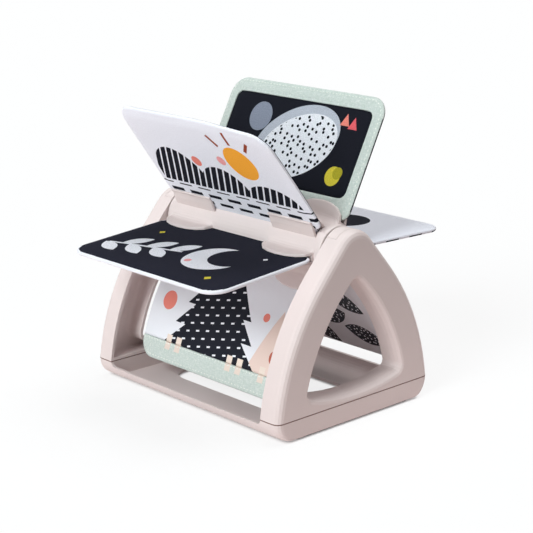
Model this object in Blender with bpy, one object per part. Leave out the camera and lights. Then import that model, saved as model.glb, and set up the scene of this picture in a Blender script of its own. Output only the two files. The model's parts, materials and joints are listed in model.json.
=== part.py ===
"""Baby spinning book: six sewn fabric pages on a drum that turns between two arches on a moulded base.

Metres, +Z up. X runs along the axle, -Y is the front, and Z = 0 is the surface that the toy stands on.
The stand is built around the origin, and every piece that turns is built around the axle and parented
to one empty that lies on it.
"""
import math

import bmesh
import bpy
from mathutils import Matrix, Vector

# Clearances
GAP = 0.0003                # between two pieces that touch on the real toy
OVERRUN = 0.004             # how far a cutter reaches past the face that it cuts

# Stand: overall sizes
STAND_WIDTH = 0.220         # over both arches
ARCH_THICKNESS = 0.019
BASE_HALF_DEPTH = 0.083     # at the seam between base and arches
SEAM_HEIGHT = 0.0168
FLOOR_CLEARANCE = 0.0023    # between a page's outer edge and the tray's floor
WALL = 0.0025               # of every moulded shell of the stand
EDGE_ROUND = 0.006          # outer edges of arches and base

# Arches
SHOULDER_REACH_SHARE = 0.463         # where a leg's curve ends, as a share of the base's half depth
SHOULDER_HEIGHT_SHARE = 0.886        # and as a share of the height from the seam to the axle
HEAD_RADIUS = 0.0205
LEG_WIDTH = 0.030
SILL_RISE = 0.0067                   # from the seam to the window's lowest point
SILL_RADIUS = 0.186
WINDOW_CORNER = 0.005
WINDOW_APEX = 0.004
WINDOW_ROUND = 0.0048                # rounding round the window, across the outer face
WINDOW_ROUND_DEPTH = 0.009           # and into the window
COVE = 0.004                         # rounding inside the hollow legs
COVE_TOP_START = 0.045               # depth below the axle at which the coves begin to narrow upwards
COVE_TOP_END = 0.024                 # depth below the axle at which they have run out
COVE_CENTRE = 0.0382                 # rise above the seam from which the two directions below are measured
COVE_SILL_END = math.radians(-36)    # direction in which the coves run out towards the sill
COVE_SILL_START = math.radians(-26)  # direction in which they begin to narrow

# Bearings
JOURNAL_RADIUS = 0.0097
BEARING_LENGTH = 0.010
BEARING_HALF_WIDTH = 0.0143          # of the slot that the cap closes
JOURNAL_CHAMFER = 0.001

# Base
SOLE_STANDOFF = 0.0012      # height of the base's underside
BASE_ROUND = 0.0156         # depth of the boat-shaped front and rear
BOTTOM_EDGE = 0.001         # rounding of the base's lower side edges
LOW_WALL_TOP = 0.0128       # height of the front and rear walls
LOW_WALL_CORNER = 0.004     # curve from those walls up to the seam
OPENING_SIDE_MARGIN = 0.026 # floor between an arch and the opening
OPENING_END_MARGIN = 0.041  # from the base's front or rear end to the opening
OPENING_CORNER = 0.018
SOLE_MARGIN = 0.021         # from the base's front or rear end to the sole
SOLE_POCKET = 0.0016        # depth of the recess that takes the sole
SOLE_LEDGE = 0.0012         # shelf round the rail's hollow that the sole lies against
SOLE_CORNER = 0.0025
SOLE_CHAMFER = 0.0005

# Screws
DRUM_SCREW_HEAD_RADIUS = 0.0028
SCREW_HEAD_HEIGHT = 0.0016
SHANK_RADIUS = 0.0012
ARCH_SCREW_HEAD_RADIUS = 0.0046      # wider than the spigot that it clamps
ARCH_SCREW_LENGTH = 0.0046
ARCH_SCREW_MARGIN = 0.029   # from the base's front or rear end to the screw
SPIGOT_RADIUS = 0.0031      # of the arch's foot, in a hole in the rail
DRUM_SCREW_LENGTH = 0.0085
DRUM_SCREW_PLACE = 0.020    # from the middle of the drum, along X
COUNTERBORE_DEPTH = 0.0020

# Drum
DRUM_RADIUS = 0.021
DRUM_END_PLAY = 0.0015      # between the drum's end and an arch
DRUM_WALL = 0.003
DRUM_END_WALL = 0.003
DRUM_EDGE = 0.001
GROOVE_BOTTOM = 0.009       # radius at which a page's root ends

# Lobes and clip plates beside the pages
GRIP_MARGIN = 0.0315        # from the drum's end to the middle of a lobe or clip plate
LOBE_HALF_WIDTH = 0.026
LOBE_REACH = 0.0365         # radius of a lobe's tip
LOBE_THICKNESS = 0.0020
LOBE_FILLET = 0.008
LOBE_FULLNESS_SHARE = 0.8   # below one for a fuller outline than an ellipse
CLIP_HALF_WIDTH = 0.0235
CLIP_REACH = 0.0335
CLIP_THICKNESS = 0.0016
CLIP_LIP = 0.0014           # height of the lip that lies against the page
CLIP_STANDOFF = 0.0018      # hollow between clip plate and page at the drum

# Pages
PAGE_REACH = 0.124          # radius of a page's outer edge
PAGE_SIDE_MARGIN = 0.002    # from the drum's end to a page's side
PAGE_THICKNESS = 0.0044
PAGE_SHOULDER = 0.024       # radius at which a page widens from its tongue
TONGUE_MARGIN = 0.0075      # from a page's side to its tongue's
PAGE_OUTER_CORNER = 0.010
PAGE_INNER_CORNER = 0.008
PAGE_EDGE = 0.0018          # rounding of a cover's sewn edge
SEAM_MARGIN = 0.0025        # sewn rim outside the board
COVER_WALL = 0.0008
PANEL_THICKNESS = 0.0005
PANEL_SIDE_MARGIN = 0.012
PANEL_OUTER_MARGIN = 0.012
PANEL_ROOT_RADIUS = 0.0415
PANEL_CORNER = 0.010
BAND_WIDTH = 0.017

# The pages stand at even steps, and each leans a little in its slot
PAGE_COUNT = 6
ROTOR_PHASE = math.radians(4.6)
PAGE_LEANS = tuple(math.radians(lean) for lean in (0.0, 1.2, -1.9, -6.0, 0.0, -1.3))
PARTING_PAGES = (2, 5)      # pages that are clamped between the two halves of the drum
PANEL_PAGE = 3
BAND_PAGE = 6

# Facets
ARC_STEPS = 4
LEG_STEPS = 7
HEAD_STEPS = 6
SILL_STEPS = 5
ROUND_STEPS = 24
SMALL_ROUND_STEPS = 12
LOBE_STEPS = 8
SHARP_ANGLE = math.radians(35)

# Worked out from the sizes above
X_OUTER = STAND_WIDTH / 2
X_INNER = X_OUTER - ARCH_THICKNESS
ARCH_FOOT = SEAM_HEIGHT + GAP
AXLE_HEIGHT = SOLE_STANDOFF + WALL + FLOOR_CLEARANCE + PAGE_REACH
SILL_HEIGHT = SEAM_HEIGHT + SILL_RISE
OPENING_HALF_LENGTH = X_INNER - OPENING_SIDE_MARGIN
OPENING_HALF_WIDTH = BASE_HALF_DEPTH - OPENING_END_MARGIN
SOLE_HALF_LENGTH = BASE_HALF_DEPTH - SOLE_MARGIN
ARCH_SCREW_PLACE = BASE_HALF_DEPTH - ARCH_SCREW_MARGIN
DRUM_HALF_LENGTH = X_INNER - DRUM_END_PLAY
GRIP_CENTRE = DRUM_HALF_LENGTH - GRIP_MARGIN
PAGE_HALF_WIDTH = DRUM_HALF_LENGTH - PAGE_SIDE_MARGIN
TONGUE_HALF_WIDTH = PAGE_HALF_WIDTH - TONGUE_MARGIN
BORE_RADIUS = JOURNAL_RADIUS + GAP
PAGE_PITCH = math.tau / PAGE_COUNT
SLOT_HALF = PAGE_THICKNESS / 2 + GAP
BASE_HEIGHT = SEAM_HEIGHT - SOLE_STANDOFF


def page_angle(number):
    """Angle of a page's middle plane about the axle, from +Y towards +Z; page 1 points to the front."""
    return ROTOR_PHASE + math.pi - (number - 1) * PAGE_PITCH + PAGE_LEANS[number - 1]


def clear_scene():
    for thing in list(bpy.data.objects):
        bpy.data.objects.remove(thing, do_unlink=True)


def linear(channel):
    return channel / 12.92 if channel <= 0.04045 else ((channel + 0.055) / 1.055) ** 2.4


def make_material(name, hex_colour, roughness, metallic=0.0):
    material = bpy.data.materials.new(name)
    material.use_nodes = True
    shader = material.node_tree.nodes["Principled BSDF"]
    channels = [int(hex_colour[start:start + 2], 16) / 255 for start in (1, 3, 5)]
    shader.inputs["Base Color"].default_value = [linear(value) for value in channels] + [1.0]
    shader.inputs["Roughness"].default_value = roughness
    shader.inputs["Metallic"].default_value = metallic
    return material


def arc(centre, radius, start, end, steps):
    """Points of an arc, both ends included."""
    points = []
    for step in range(steps + 1):
        angle = start + (end - start) * step / steps
        points.append((centre[0] + radius * math.cos(angle), centre[1] + radius * math.sin(angle)))
    return points


def straight(start, end, steps):
    """Points of a straight stretch, both ends included."""
    return [(start[0] + (end[0] - start[0]) * step / steps,
             start[1] + (end[1] - start[1]) * step / steps) for step in range(steps + 1)]


def chain(*stretches):
    """Joins stretches, each of which starts where the one before it ends."""
    points = list(stretches[0])
    for stretch in stretches[1:]:
        points += stretch[1:]
    return points


def mirror_loop(half):
    """Closes a half outline, which runs from the mirror line back to it, with its mirror image."""
    return half + [(-first, second) for first, second in reversed(half[1:-1])]


def circle_crossing(centre_a, radius_a, centre_b, radius_b, sign):
    """One of the two points at the given distances from two centres."""
    dx = centre_b[0] - centre_a[0]
    dy = centre_b[1] - centre_a[1]
    span = math.hypot(dx, dy)
    along = (radius_a ** 2 - radius_b ** 2 + span ** 2) / (2 * span)
    across = sign * math.sqrt(max(radius_a ** 2 - along ** 2, 0.0))
    return (centre_a[0] + (along * dx - across * dy) / span,
            centre_a[1] + (along * dy + across * dx) / span)


def yz_loop(points, x):
    return [(x, y, z) for y, z in points]


def add_loft(bm, loops, ring=False):
    """Adds a closed body through loops of equal length; a ring's last loop meets its first."""
    rows = [[bm.verts.new(point) for point in loop] for loop in loops]
    pairs = list(zip(rows, rows[1:]))
    if ring:
        pairs.append((rows[-1], rows[0]))
        faces = []
    else:
        faces = [bm.faces.new(rows[0]), bm.faces.new(rows[-1])]
    count = len(rows[0])
    for row, following in pairs:
        for index in range(count):
            after = (index + 1) % count
            faces.append(bm.faces.new((row[index], row[after], following[after], following[index])))
    bmesh.ops.recalc_face_normals(bm, faces=faces)


def loft(loops, ring=False):
    bm = bmesh.new()
    add_loft(bm, loops, ring)
    return bm


def add_box(bm, low, high):
    """Adds a box between two corners."""
    xs, ys, zs = zip(low, high)
    add_loft(bm, [[(xs[0], ys[0], z), (xs[1], ys[0], z), (xs[1], ys[1], z), (xs[0], ys[1], z)] for z in zs])


def add_turned(bm, profile, steps, placement):
    """Adds a body turned about Z, with a profile (radius, height) from the axis back to the axis."""
    rings = []
    for radius, height in profile:
        turns = [math.tau * step / steps for step in range(steps if radius else 1)]
        points = [(radius * math.cos(turn), radius * math.sin(turn), height) for turn in turns]
        rings.append([bm.verts.new(placement @ Vector(point)) for point in points])
    faces = []
    for lower, upper in zip(rings, rings[1:]):
        for index in range(steps):
            after = (index + 1) % steps
            if len(lower) == 1:
                corners = (lower[0], upper[after], upper[index])
            elif len(upper) == 1:
                corners = (lower[index], lower[after], upper[0])
            else:
                corners = (lower[index], lower[after], upper[after], upper[index])
            faces.append(bm.faces.new(corners))
    bmesh.ops.recalc_face_normals(bm, faces=faces)


def rounded_rectangle(half_x, half_y, corner, steps=ARC_STEPS):
    points = []
    for quarter, (sign_x, sign_y) in enumerate(((1, 1), (-1, 1), (-1, -1), (1, -1))):
        centre = (sign_x * (half_x - corner), sign_y * (half_y - corner))
        start = quarter * math.pi / 2
        points += arc(centre, corner, start, start + math.pi / 2, steps)
    return points


def place(name, bm, material=None, parent=None):
    """Turns a finished mesh into a named object, smooth on its round faces."""
    mesh = bpy.data.meshes.new(name)
    bm.to_mesh(mesh)
    bm.free()
    piece = bpy.data.objects.new(name, mesh)
    bpy.context.scene.collection.objects.link(piece)
    piece.parent = parent
    if material:
        mesh.materials.append(material)
        mesh.shade_smooth()
        mesh.set_sharp_from_angle(angle=SHARP_ANGLE)
    return piece


def combine(piece, tool_bm, operation, parent=None):
    """Cuts a helper from a piece or joins it to the piece; the helper is not a part of the toy."""
    helper = place(f"{piece.name}_{operation.lower()}_{len(piece.modifiers) + 1}", tool_bm, parent=parent)
    helper.hide_render = True
    helper.display_type = "WIRE"
    modifier = piece.modifiers.new(operation.title(), "BOOLEAN")
    modifier.operation = operation
    modifier.object = helper


class ArchShape:
    """Outlines of an arch in the YZ plane, each an exact offset of the others."""

    def __init__(self):
        shoulder = (BASE_HALF_DEPTH * SHOULDER_REACH_SHARE,
                    (SEAM_HEIGHT - AXLE_HEIGHT) * (1 - SHOULDER_HEIGHT_SHARE))
        tangent_turn = math.acos(HEAD_RADIUS / math.hypot(*shoulder))
        self.shoulder_turn = math.atan2(shoulder[1], shoulder[0]) + tangent_turn
        normal = (math.cos(self.shoulder_turn), math.sin(self.shoulder_turn))
        chord = (BASE_HALF_DEPTH - shoulder[0], SEAM_HEIGHT - AXLE_HEIGHT - shoulder[1])
        drop = -chord[0] * normal[0] - chord[1] * normal[1]
        self.leg_radius = (chord[0] ** 2 + chord[1] ** 2) / (2 * drop)
        self.leg_centre = (shoulder[0] - self.leg_radius * normal[0],
                           AXLE_HEIGHT + shoulder[1] - self.leg_radius * normal[1])
        self.axle = (0.0, AXLE_HEIGHT)
        self.window_radius = self.leg_radius - LEG_WIDTH
        self.sill_centre = (0.0, SILL_HEIGHT + SILL_RADIUS)
        reach = self.window_radius - WINDOW_APEX
        self.apex = (0.0, self.leg_centre[1] + math.sqrt(reach ** 2 - self.leg_centre[0] ** 2))
        self.corner = circle_crossing(self.leg_centre, self.window_radius - WINDOW_CORNER,
                                      self.sill_centre, SILL_RADIUS - WINDOW_CORNER, -1)

    def leg_reach(self, height, inset):
        """Distance from the middle to a leg's outer side at a height, drawn in by an inset."""
        radius = self.leg_radius - inset
        rise = height - self.leg_centre[1]
        straight_rise = rise - radius * math.sin(self.shoulder_turn)
        if straight_rise > 0:
            return (self.leg_centre[0] + radius * math.cos(self.shoulder_turn)
                    - straight_rise * math.tan(self.shoulder_turn))
        return self.leg_centre[0] + math.sqrt(radius ** 2 - rise ** 2)

    def outline(self, inset):
        """Outside of the arch, with its foot at a fixed height."""
        radius = self.leg_radius - inset
        start = math.asin((ARCH_FOOT - self.leg_centre[1]) / radius)
        leg = arc(self.leg_centre, radius, start, self.shoulder_turn, ARC_STEPS + LEG_STEPS)
        head = arc(self.axle, HEAD_RADIUS - inset, self.shoulder_turn, math.pi / 2, HEAD_STEPS)
        return mirror_loop(chain(straight((0.0, ARCH_FOOT), leg[0], SILL_STEPS), leg,
                                 straight(leg[-1], head[0], 2), head))

    def window(self, offset):
        """Window of the arch, grown by an offset."""
        sill_turn = math.atan2(self.corner[1] - self.sill_centre[1], self.corner[0] - self.sill_centre[0])
        leg_turn = math.atan2(self.corner[1] - self.leg_centre[1], self.corner[0] - self.leg_centre[0])
        apex_turn = math.atan2(self.apex[1] - self.leg_centre[1], self.apex[0] - self.leg_centre[0])
        return mirror_loop(chain(
            arc(self.sill_centre, SILL_RADIUS + offset, -math.pi / 2, sill_turn, SILL_STEPS),
            arc(self.corner, WINDOW_CORNER + offset, sill_turn, leg_turn, ARC_STEPS),
            arc(self.leg_centre, self.window_radius + offset, leg_turn, apex_turn, LEG_STEPS + 2),
            arc(self.apex, WINDOW_APEX + offset, apex_turn, math.pi / 2, HEAD_STEPS)))

    def hollow(self, cove):
        """Outer boundary of the hollow inside the legs, which ends below the bearing."""
        floor = ARCH_FOOT + WALL + cove
        ceiling = AXLE_HEIGHT - BORE_RADIUS - WALL - cove
        heights = [height for height, _ in straight((floor, 0), (ceiling, 0), ARC_STEPS + LEG_STEPS)]
        leg = [(self.leg_reach(height, WALL + cove), height) for height in heights]
        return mirror_loop(chain(straight((0.0, floor), leg[0], SILL_STEPS), leg,
                                 straight(leg[-1], (0.0, ceiling), 2 + HEAD_STEPS)))


def fading_cove(loop_at, cove):
    """A loop drawn in by a cove that runs out towards the head and the sill, where there's no room for it."""
    points = []
    for (y, z), (y_in, z_in) in zip(loop_at(0.0), loop_at(cove)):
        head_share = (AXLE_HEIGHT - z - COVE_TOP_END) / (COVE_TOP_START - COVE_TOP_END)
        direction = math.atan2(z - SEAM_HEIGHT - COVE_CENTRE, abs(y))
        sill_share = (direction - COVE_SILL_END) / (COVE_SILL_START - COVE_SILL_END)
        share = min(max(min(head_share, sill_share), 0.0), 1.0)
        points.append((y + share * (y_in - y), z + share * (z_in - z)))
    return points


def make_arch(name, side, shape, material):
    """A shell that is open towards the book: skin, outer face and window frame in one ring of loops."""
    loops = [yz_loop(shape.outline(0.0), X_INNER)]
    for step in range(ARC_STEPS + 1):
        turn = step / ARC_STEPS * math.pi / 2
        x = X_OUTER - EDGE_ROUND * (1 - math.sin(turn))
        loops.append(yz_loop(shape.outline(EDGE_ROUND * (1 - math.cos(turn))), x))
    for step in range(ARC_STEPS, -1, -1):
        turn = step / ARC_STEPS * math.pi / 2
        x = X_OUTER - WINDOW_ROUND_DEPTH * (1 - math.sin(turn))
        loops.append(yz_loop(shape.window(WINDOW_ROUND * (1 - math.cos(turn))), x))
    loops.append(yz_loop(shape.window(0.0), X_INNER))
    loops.append(yz_loop(shape.window(WALL), X_INNER))
    coves = [(X_OUTER - WALL - COVE * (1 - math.sin(turn)), COVE * (1 - math.cos(turn)))
             for turn in (step / ARC_STEPS * math.pi / 2 for step in range(ARC_STEPS + 1))]
    for x, drawn_in in coves:
        loops.append(yz_loop(fading_cove(lambda cove: shape.window(WALL + cove), drawn_in), x))
    for x, drawn_in in reversed(coves):
        loops.append(yz_loop(fading_cove(shape.hollow, drawn_in), x))
    loops.append(yz_loop(shape.hollow(0.0), X_INNER))
    loops = [[(side * x, y, z) for x, y, z in loop] for loop in loops]
    arch = place(name, loft(loops, ring=True), material)

    spigots = bmesh.new()
    holes = bmesh.new()
    for y in (-ARCH_SCREW_PLACE, ARCH_SCREW_PLACE):
        spot = Matrix.Translation((side * rail_middle(), y, 0))
        foot = SEAM_HEIGHT - WALL
        root = ARCH_FOOT + WALL / 2
        add_turned(spigots, [(0, foot), (SPIGOT_RADIUS, foot), (SPIGOT_RADIUS, root), (0, root)],
                   SMALL_ROUND_STEPS, spot)
        top = arch_screw_seat() + ARCH_SCREW_LENGTH + GAP
        bore = SHANK_RADIUS + GAP
        add_turned(holes, [(0, foot - OVERRUN), (bore, foot - OVERRUN), (bore, top), (0, top)],
                   SMALL_ROUND_STEPS, spot)
    combine(arch, spigots, "UNION")
    combine(arch, holes, "DIFFERENCE")

    slot = bmesh.new()
    x_ends = sorted((side * (X_INNER - OVERRUN), side * (X_INNER + BEARING_LENGTH)))
    add_box(slot, (x_ends[0], -BEARING_HALF_WIDTH, AXLE_HEIGHT),
            (x_ends[1], BEARING_HALF_WIDTH, AXLE_HEIGHT + HEAD_RADIUS + OVERRUN))
    combine(arch, slot, "DIFFERENCE")
    bore = [yz_loop(arc(shape.axle, BORE_RADIUS, 0, math.tau, ROUND_STEPS)[:-1], x) for x in x_ends]
    combine(arch, loft(bore), "DIFFERENCE")
    return arch


def make_bearing_cap(name, side, material):
    """Closes the slot in an arch's head: the head's round outside above half a bore."""
    half_width = BEARING_HALF_WIDTH - GAP
    spread = math.asin(half_width / HEAD_RADIUS)
    foot = AXLE_HEIGHT + GAP
    bore_start = math.asin(GAP / BORE_RADIUS)
    axle = (0.0, AXLE_HEIGHT)
    profile = [(half_width, foot)]
    profile += arc(axle, HEAD_RADIUS, math.pi / 2 - spread, math.pi / 2 + spread, SMALL_ROUND_STEPS)
    profile += [(-half_width, foot)]
    profile += arc(axle, BORE_RADIUS, math.pi - bore_start, bore_start, SMALL_ROUND_STEPS)
    ends = (side * X_INNER, side * (X_INNER + BEARING_LENGTH - GAP))
    return place(name, loft([yz_loop(profile, x) for x in ends]), material)


def rail_middle():
    """Middle of a rail's hollow, along X."""
    return (X_INNER + X_OUTER) / 2


def arch_screw_seat():
    """Height at which an arch screw's head meets the top of the rail's hollow."""
    return SEAM_HEIGHT - WALL - GAP


def boat_outline(inset, lift):
    """Base seen from the side, drawn in by an inset at front and rear and by a lift at the bottom."""
    half = []
    for step in range(2 * ARC_STEPS + 1):
        turn = -step / (2 * ARC_STEPS) * math.pi / 2
        half.append((BASE_HALF_DEPTH - BASE_ROUND + (BASE_ROUND - inset) * math.cos(turn),
                     SEAM_HEIGHT + (BASE_HEIGHT - lift) * math.sin(turn)))
    return half + [(-y, z) for y, z in reversed(half)]


def make_base(material):
    """Tray with two hollow rails: the boat shape, cut by its inside, its low walls and its opening."""
    loops = []
    for sign in (-1, 1):
        steps = range(ARC_STEPS + 1) if sign > 0 else range(ARC_STEPS, -1, -1)
        for step in steps:
            turn = step / ARC_STEPS * math.pi / 2
            share = 1 - math.cos(turn)
            x = sign * (X_OUTER - EDGE_ROUND * (1 - math.sin(turn)))
            loops.append(yz_loop(boat_outline(EDGE_ROUND * share, BOTTOM_EDGE * share), x))
    base = place("base_tray", loft(loops), material)

    inside = boat_outline(WALL, WALL)
    inside[0] = (inside[0][0], SEAM_HEIGHT + OVERRUN)
    inside[-1] = (inside[-1][0], SEAM_HEIGHT + OVERRUN)
    combine(base, loft([yz_loop(inside, x) for x in (-X_INNER, X_INNER)]), "DIFFERENCE")

    corner = (X_INNER - LOW_WALL_CORNER, LOW_WALL_TOP + LOW_WALL_CORNER)
    notch = arc(corner, LOW_WALL_CORNER, -math.pi / 2, 0, ARC_STEPS) + [(X_INNER, corner[1] + OVERRUN)]
    notch += [(-x, z) for x, z in reversed(notch)]
    reach = BASE_HALF_DEPTH + OVERRUN
    combine(base, loft([[(x, y, z) for x, z in notch] for y in (-reach, reach)]), "DIFFERENCE")

    opening = rounded_rectangle(OPENING_HALF_LENGTH, OPENING_HALF_WIDTH, OPENING_CORNER, LEG_STEPS)
    combine(base, loft([[(x, y, z) for x, y in opening] for z in (-OVERRUN, SEAM_HEIGHT)]), "DIFFERENCE")

    pockets = bmesh.new()
    hollows = bmesh.new()
    holes = bmesh.new()
    half_x = ARCH_THICKNESS / 2 - WALL
    for side in (-1, 1):
        middle = side * rail_middle()
        shelf = SOLE_STANDOFF + SOLE_POCKET
        add_box(pockets, (middle - half_x, -SOLE_HALF_LENGTH - GAP, -OVERRUN),
                (middle + half_x, SOLE_HALF_LENGTH + GAP, shelf))
        add_box(hollows, (middle - half_x + SOLE_LEDGE, -SOLE_HALF_LENGTH + SOLE_LEDGE, SOLE_STANDOFF),
                (middle + half_x - SOLE_LEDGE, SOLE_HALF_LENGTH - SOLE_LEDGE, SEAM_HEIGHT - WALL))
        for y in (-ARCH_SCREW_PLACE, ARCH_SCREW_PLACE):
            bore = SPIGOT_RADIUS + GAP
            low = SEAM_HEIGHT - WALL - OVERRUN
            high = SEAM_HEIGHT + OVERRUN
            add_turned(holes, [(0, low), (bore, low), (bore, high), (0, high)],
                       SMALL_ROUND_STEPS, Matrix.Translation((middle, y, 0)))
    combine(base, pockets, "DIFFERENCE")
    combine(base, hollows, "DIFFERENCE")
    combine(base, holes, "DIFFERENCE")
    return base


def make_sole(name, side, material):
    """Plate that closes a rail from below; the toy stands on it."""
    half_x = ARCH_THICKNESS / 2 - WALL - GAP
    top = SOLE_STANDOFF + SOLE_POCKET - GAP
    middle = side * rail_middle()
    loops = []
    for inset, height in ((SOLE_CHAMFER, 0.0), (0.0, SOLE_CHAMFER), (0.0, top)):
        outline = rounded_rectangle(half_x - inset, SOLE_HALF_LENGTH - inset, SOLE_CORNER - inset)
        loops.append([(middle + x, y, height) for x, y in outline])
    return place(name, loft(loops), material)


def screw_profile(head_radius, length):
    """Pan head below, shank above; the head's seat is at height zero."""
    crown = SCREW_HEAD_HEIGHT / 4
    return [(0, -SCREW_HEAD_HEIGHT), (head_radius - crown, -SCREW_HEAD_HEIGHT),
            (head_radius, crown - SCREW_HEAD_HEIGHT), (head_radius, 0), (SHANK_RADIUS, 0),
            (SHANK_RADIUS, length - SHANK_RADIUS), (0, length)]


def make_screws(kind, profile, spots, material, parent=None):
    """One screw at each named placement; all of a kind share one mesh."""
    mesh = None
    for spot_name, spot in spots.items():
        if mesh is None:
            bm = bmesh.new()
            add_turned(bm, profile, SMALL_ROUND_STEPS, Matrix())
            screw = place(f"{kind}_{spot_name}", bm, material, parent)
            mesh = screw.data
        else:
            screw = bpy.data.objects.new(f"{kind}_{spot_name}", mesh)
            bpy.context.scene.collection.objects.link(screw)
            screw.parent = parent
        screw.matrix_local = spot


def arch_screw_spots():
    """Placements of the arch screws: seat at the origin, shank along +Z into the spigot."""
    seat = arch_screw_seat()
    return {f"{side_name}_{end_name}":
            Matrix.Translation((side * rail_middle(), end * ARCH_SCREW_PLACE, seat))
            for side_name, side in (("left", -1), ("right", 1))
            for end_name, end in (("front", -1), ("rear", 1))}


def make_spindle(material, axis):
    """Core with a groove for each page's root, and a journal at each end."""
    radius = DRUM_RADIUS - DRUM_WALL - GAP
    mouth = math.asin(SLOT_HALF / radius)
    profile = []
    for number in range(PAGE_COUNT, 0, -1):
        angle = page_angle(number)
        ahead = page_angle(number - 1) if number > 1 else page_angle(PAGE_COUNT) + math.tau
        along = (math.cos(angle), math.sin(angle))
        profile.append((radius * math.cos(angle - mouth), radius * math.sin(angle - mouth)))
        for sign in (-1, 1):
            profile.append((GROOVE_BOTTOM * along[0] - sign * SLOT_HALF * along[1],
                            GROOVE_BOTTOM * along[1] + sign * SLOT_HALF * along[0]))
        profile += arc((0, 0), radius, angle + mouth, ahead - mouth, ARC_STEPS)[:-1]
    half_length = DRUM_HALF_LENGTH - DRUM_END_WALL - GAP
    core = loft([yz_loop(profile, x) for x in (-half_length, half_length)])
    spindle = place("spindle", core, material, axis)

    journals = bmesh.new()
    tip = X_INNER + BEARING_LENGTH - GAP
    depth = half_length - DRUM_END_WALL
    chamfer = JOURNAL_RADIUS - JOURNAL_CHAMFER
    turned = [(0, depth), (JOURNAL_RADIUS, depth), (JOURNAL_RADIUS, tip - JOURNAL_CHAMFER),
              (chamfer, tip), (0, tip)]
    for sign in (-1, 1):
        add_turned(journals, turned, ROUND_STEPS, Matrix.Rotation(sign * math.pi / 2, 4, "Y"))
    combine(spindle, journals, "UNION", axis)

    holes = bmesh.new()
    for spot in {**drum_screw_spots(True), **drum_screw_spots(False)}.values():
        bore = SHANK_RADIUS + GAP
        add_turned(holes, [(0, -OVERRUN), (bore, -OVERRUN), (bore, DRUM_SCREW_LENGTH + GAP),
                           (0, DRUM_SCREW_LENGTH + GAP)], SMALL_ROUND_STEPS, spot)
    combine(spindle, holes, "DIFFERENCE", axis)
    return spindle


def screw_angle(front):
    """Middle of the sector that hides the drum screws of a half."""
    if front:
        return (page_angle(1) + page_angle(PAGE_COUNT) + math.tau) / 2
    return (page_angle(4) + page_angle(5)) / 2


def drum_screw_spots(front):
    """Placements of one half's drum screws: seat at the origin, shank along +Z towards the axle."""
    seat = DRUM_RADIUS - COUNTERBORE_DEPTH + GAP
    angle = screw_angle(front)
    half_name = "front" if front else "rear"
    y, z = seat * math.cos(angle), seat * math.sin(angle)
    inwards = Matrix.Rotation(angle + math.pi / 2, 4, "X")
    return {f"{half_name}_{side_name}": Matrix.Translation((side * DRUM_SCREW_PLACE, y, z)) @ inwards
            for side_name, side in (("left", -1), ("right", 1))}


def to_page(angle, radius, offset, x):
    """Point at a radius along a page's plane and an offset from it, about the axle."""
    return (x, radius * math.cos(angle) - offset * math.sin(angle),
            radius * math.sin(angle) + offset * math.cos(angle))


def lobe_section():
    """Half of a lobe's full section, as offsets from the page's plane and radii, from the tip to the drum."""
    outer = SLOT_HALF + LOBE_THICKNESS
    reach = DRUM_RADIUS + LOBE_FILLET
    centre = (math.sqrt(reach ** 2 - (outer + LOBE_FILLET) ** 2), outer + LOBE_FILLET)
    end_turn = math.pi + math.atan2(centre[1], centre[0])
    tip_round = LOBE_THICKNESS / 2
    fillet = arc(centre, LOBE_FILLET, 3 * math.pi / 2, end_turn, ARC_STEPS)
    tip = arc((LOBE_REACH - tip_round, outer - tip_round), tip_round, 0, math.pi / 2, 2)
    return [(offset, radius) for radius, offset in tip + fillet]


def add_lobes(bm, angle, middle):
    """A pair of rounded lobes that hold a page between them and flow into the drum."""
    half = lobe_section()
    section = [(-offset, radius) for offset, radius in reversed(half)] + half
    sunk = DRUM_RADIUS - DRUM_WALL / 2
    spread = math.asin(half[-1][0] / sunk)
    turns = [turn for turn, _ in straight((spread, 0), (-spread, 0), ARC_STEPS)]
    foot = [(sunk * math.sin(turn), sunk * math.cos(turn)) for turn in turns]
    sections = []
    for step in range(LOBE_STEPS + 1):
        turn = math.pi * (step / LOBE_STEPS - 1 / 2)
        rise = max(math.cos(turn), 0.0) ** LOBE_FULLNESS_SHARE
        top = []
        for offset, radius in section:
            skin = math.sqrt((DRUM_RADIUS - GAP) ** 2 - offset ** 2)
            top.append((offset, skin + rise * (radius - skin)))
        x = middle + LOBE_HALF_WIDTH * math.sin(turn)
        sections.append([to_page(angle, radius, offset, x) for offset, radius in top + foot])
    add_loft(bm, sections)


def add_clip(bm, angle, side, middle):
    """A plate whose lip lies against a page and whose foot stands off the page at the drum."""
    sunk = DRUM_RADIUS - DRUM_WALL / 2
    foot_inner = SLOT_HALF + CLIP_STANDOFF
    foot_outer = foot_inner + CLIP_THICKNESS
    neck = SLOT_HALF + CLIP_THICKNESS / 2
    neck_radius = CLIP_REACH - CLIP_LIP * 3 / 2
    bulge = ((neck + foot_outer) / 2 + CLIP_THICKNESS / 4, (neck_radius + DRUM_RADIUS) / 2)
    lip = neck + CLIP_LIP / 2
    section = [(foot_inner, math.sqrt(sunk ** 2 - foot_inner ** 2)), (foot_inner, DRUM_RADIUS),
               (SLOT_HALF / 2, neck_radius), (SLOT_HALF / 2, CLIP_REACH), (lip - CLIP_LIP / 4, CLIP_REACH),
               (lip, CLIP_REACH - CLIP_LIP / 4), (lip, CLIP_REACH - CLIP_LIP), (neck, neck_radius),
               bulge, (foot_outer, DRUM_RADIUS), (foot_outer, math.sqrt(sunk ** 2 - foot_outer ** 2))]
    ends = (middle - CLIP_HALF_WIDTH, middle + CLIP_HALF_WIDTH)
    add_loft(bm, [[to_page(angle, radius, side * offset, x) for offset, radius in section] for x in ends])


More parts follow.
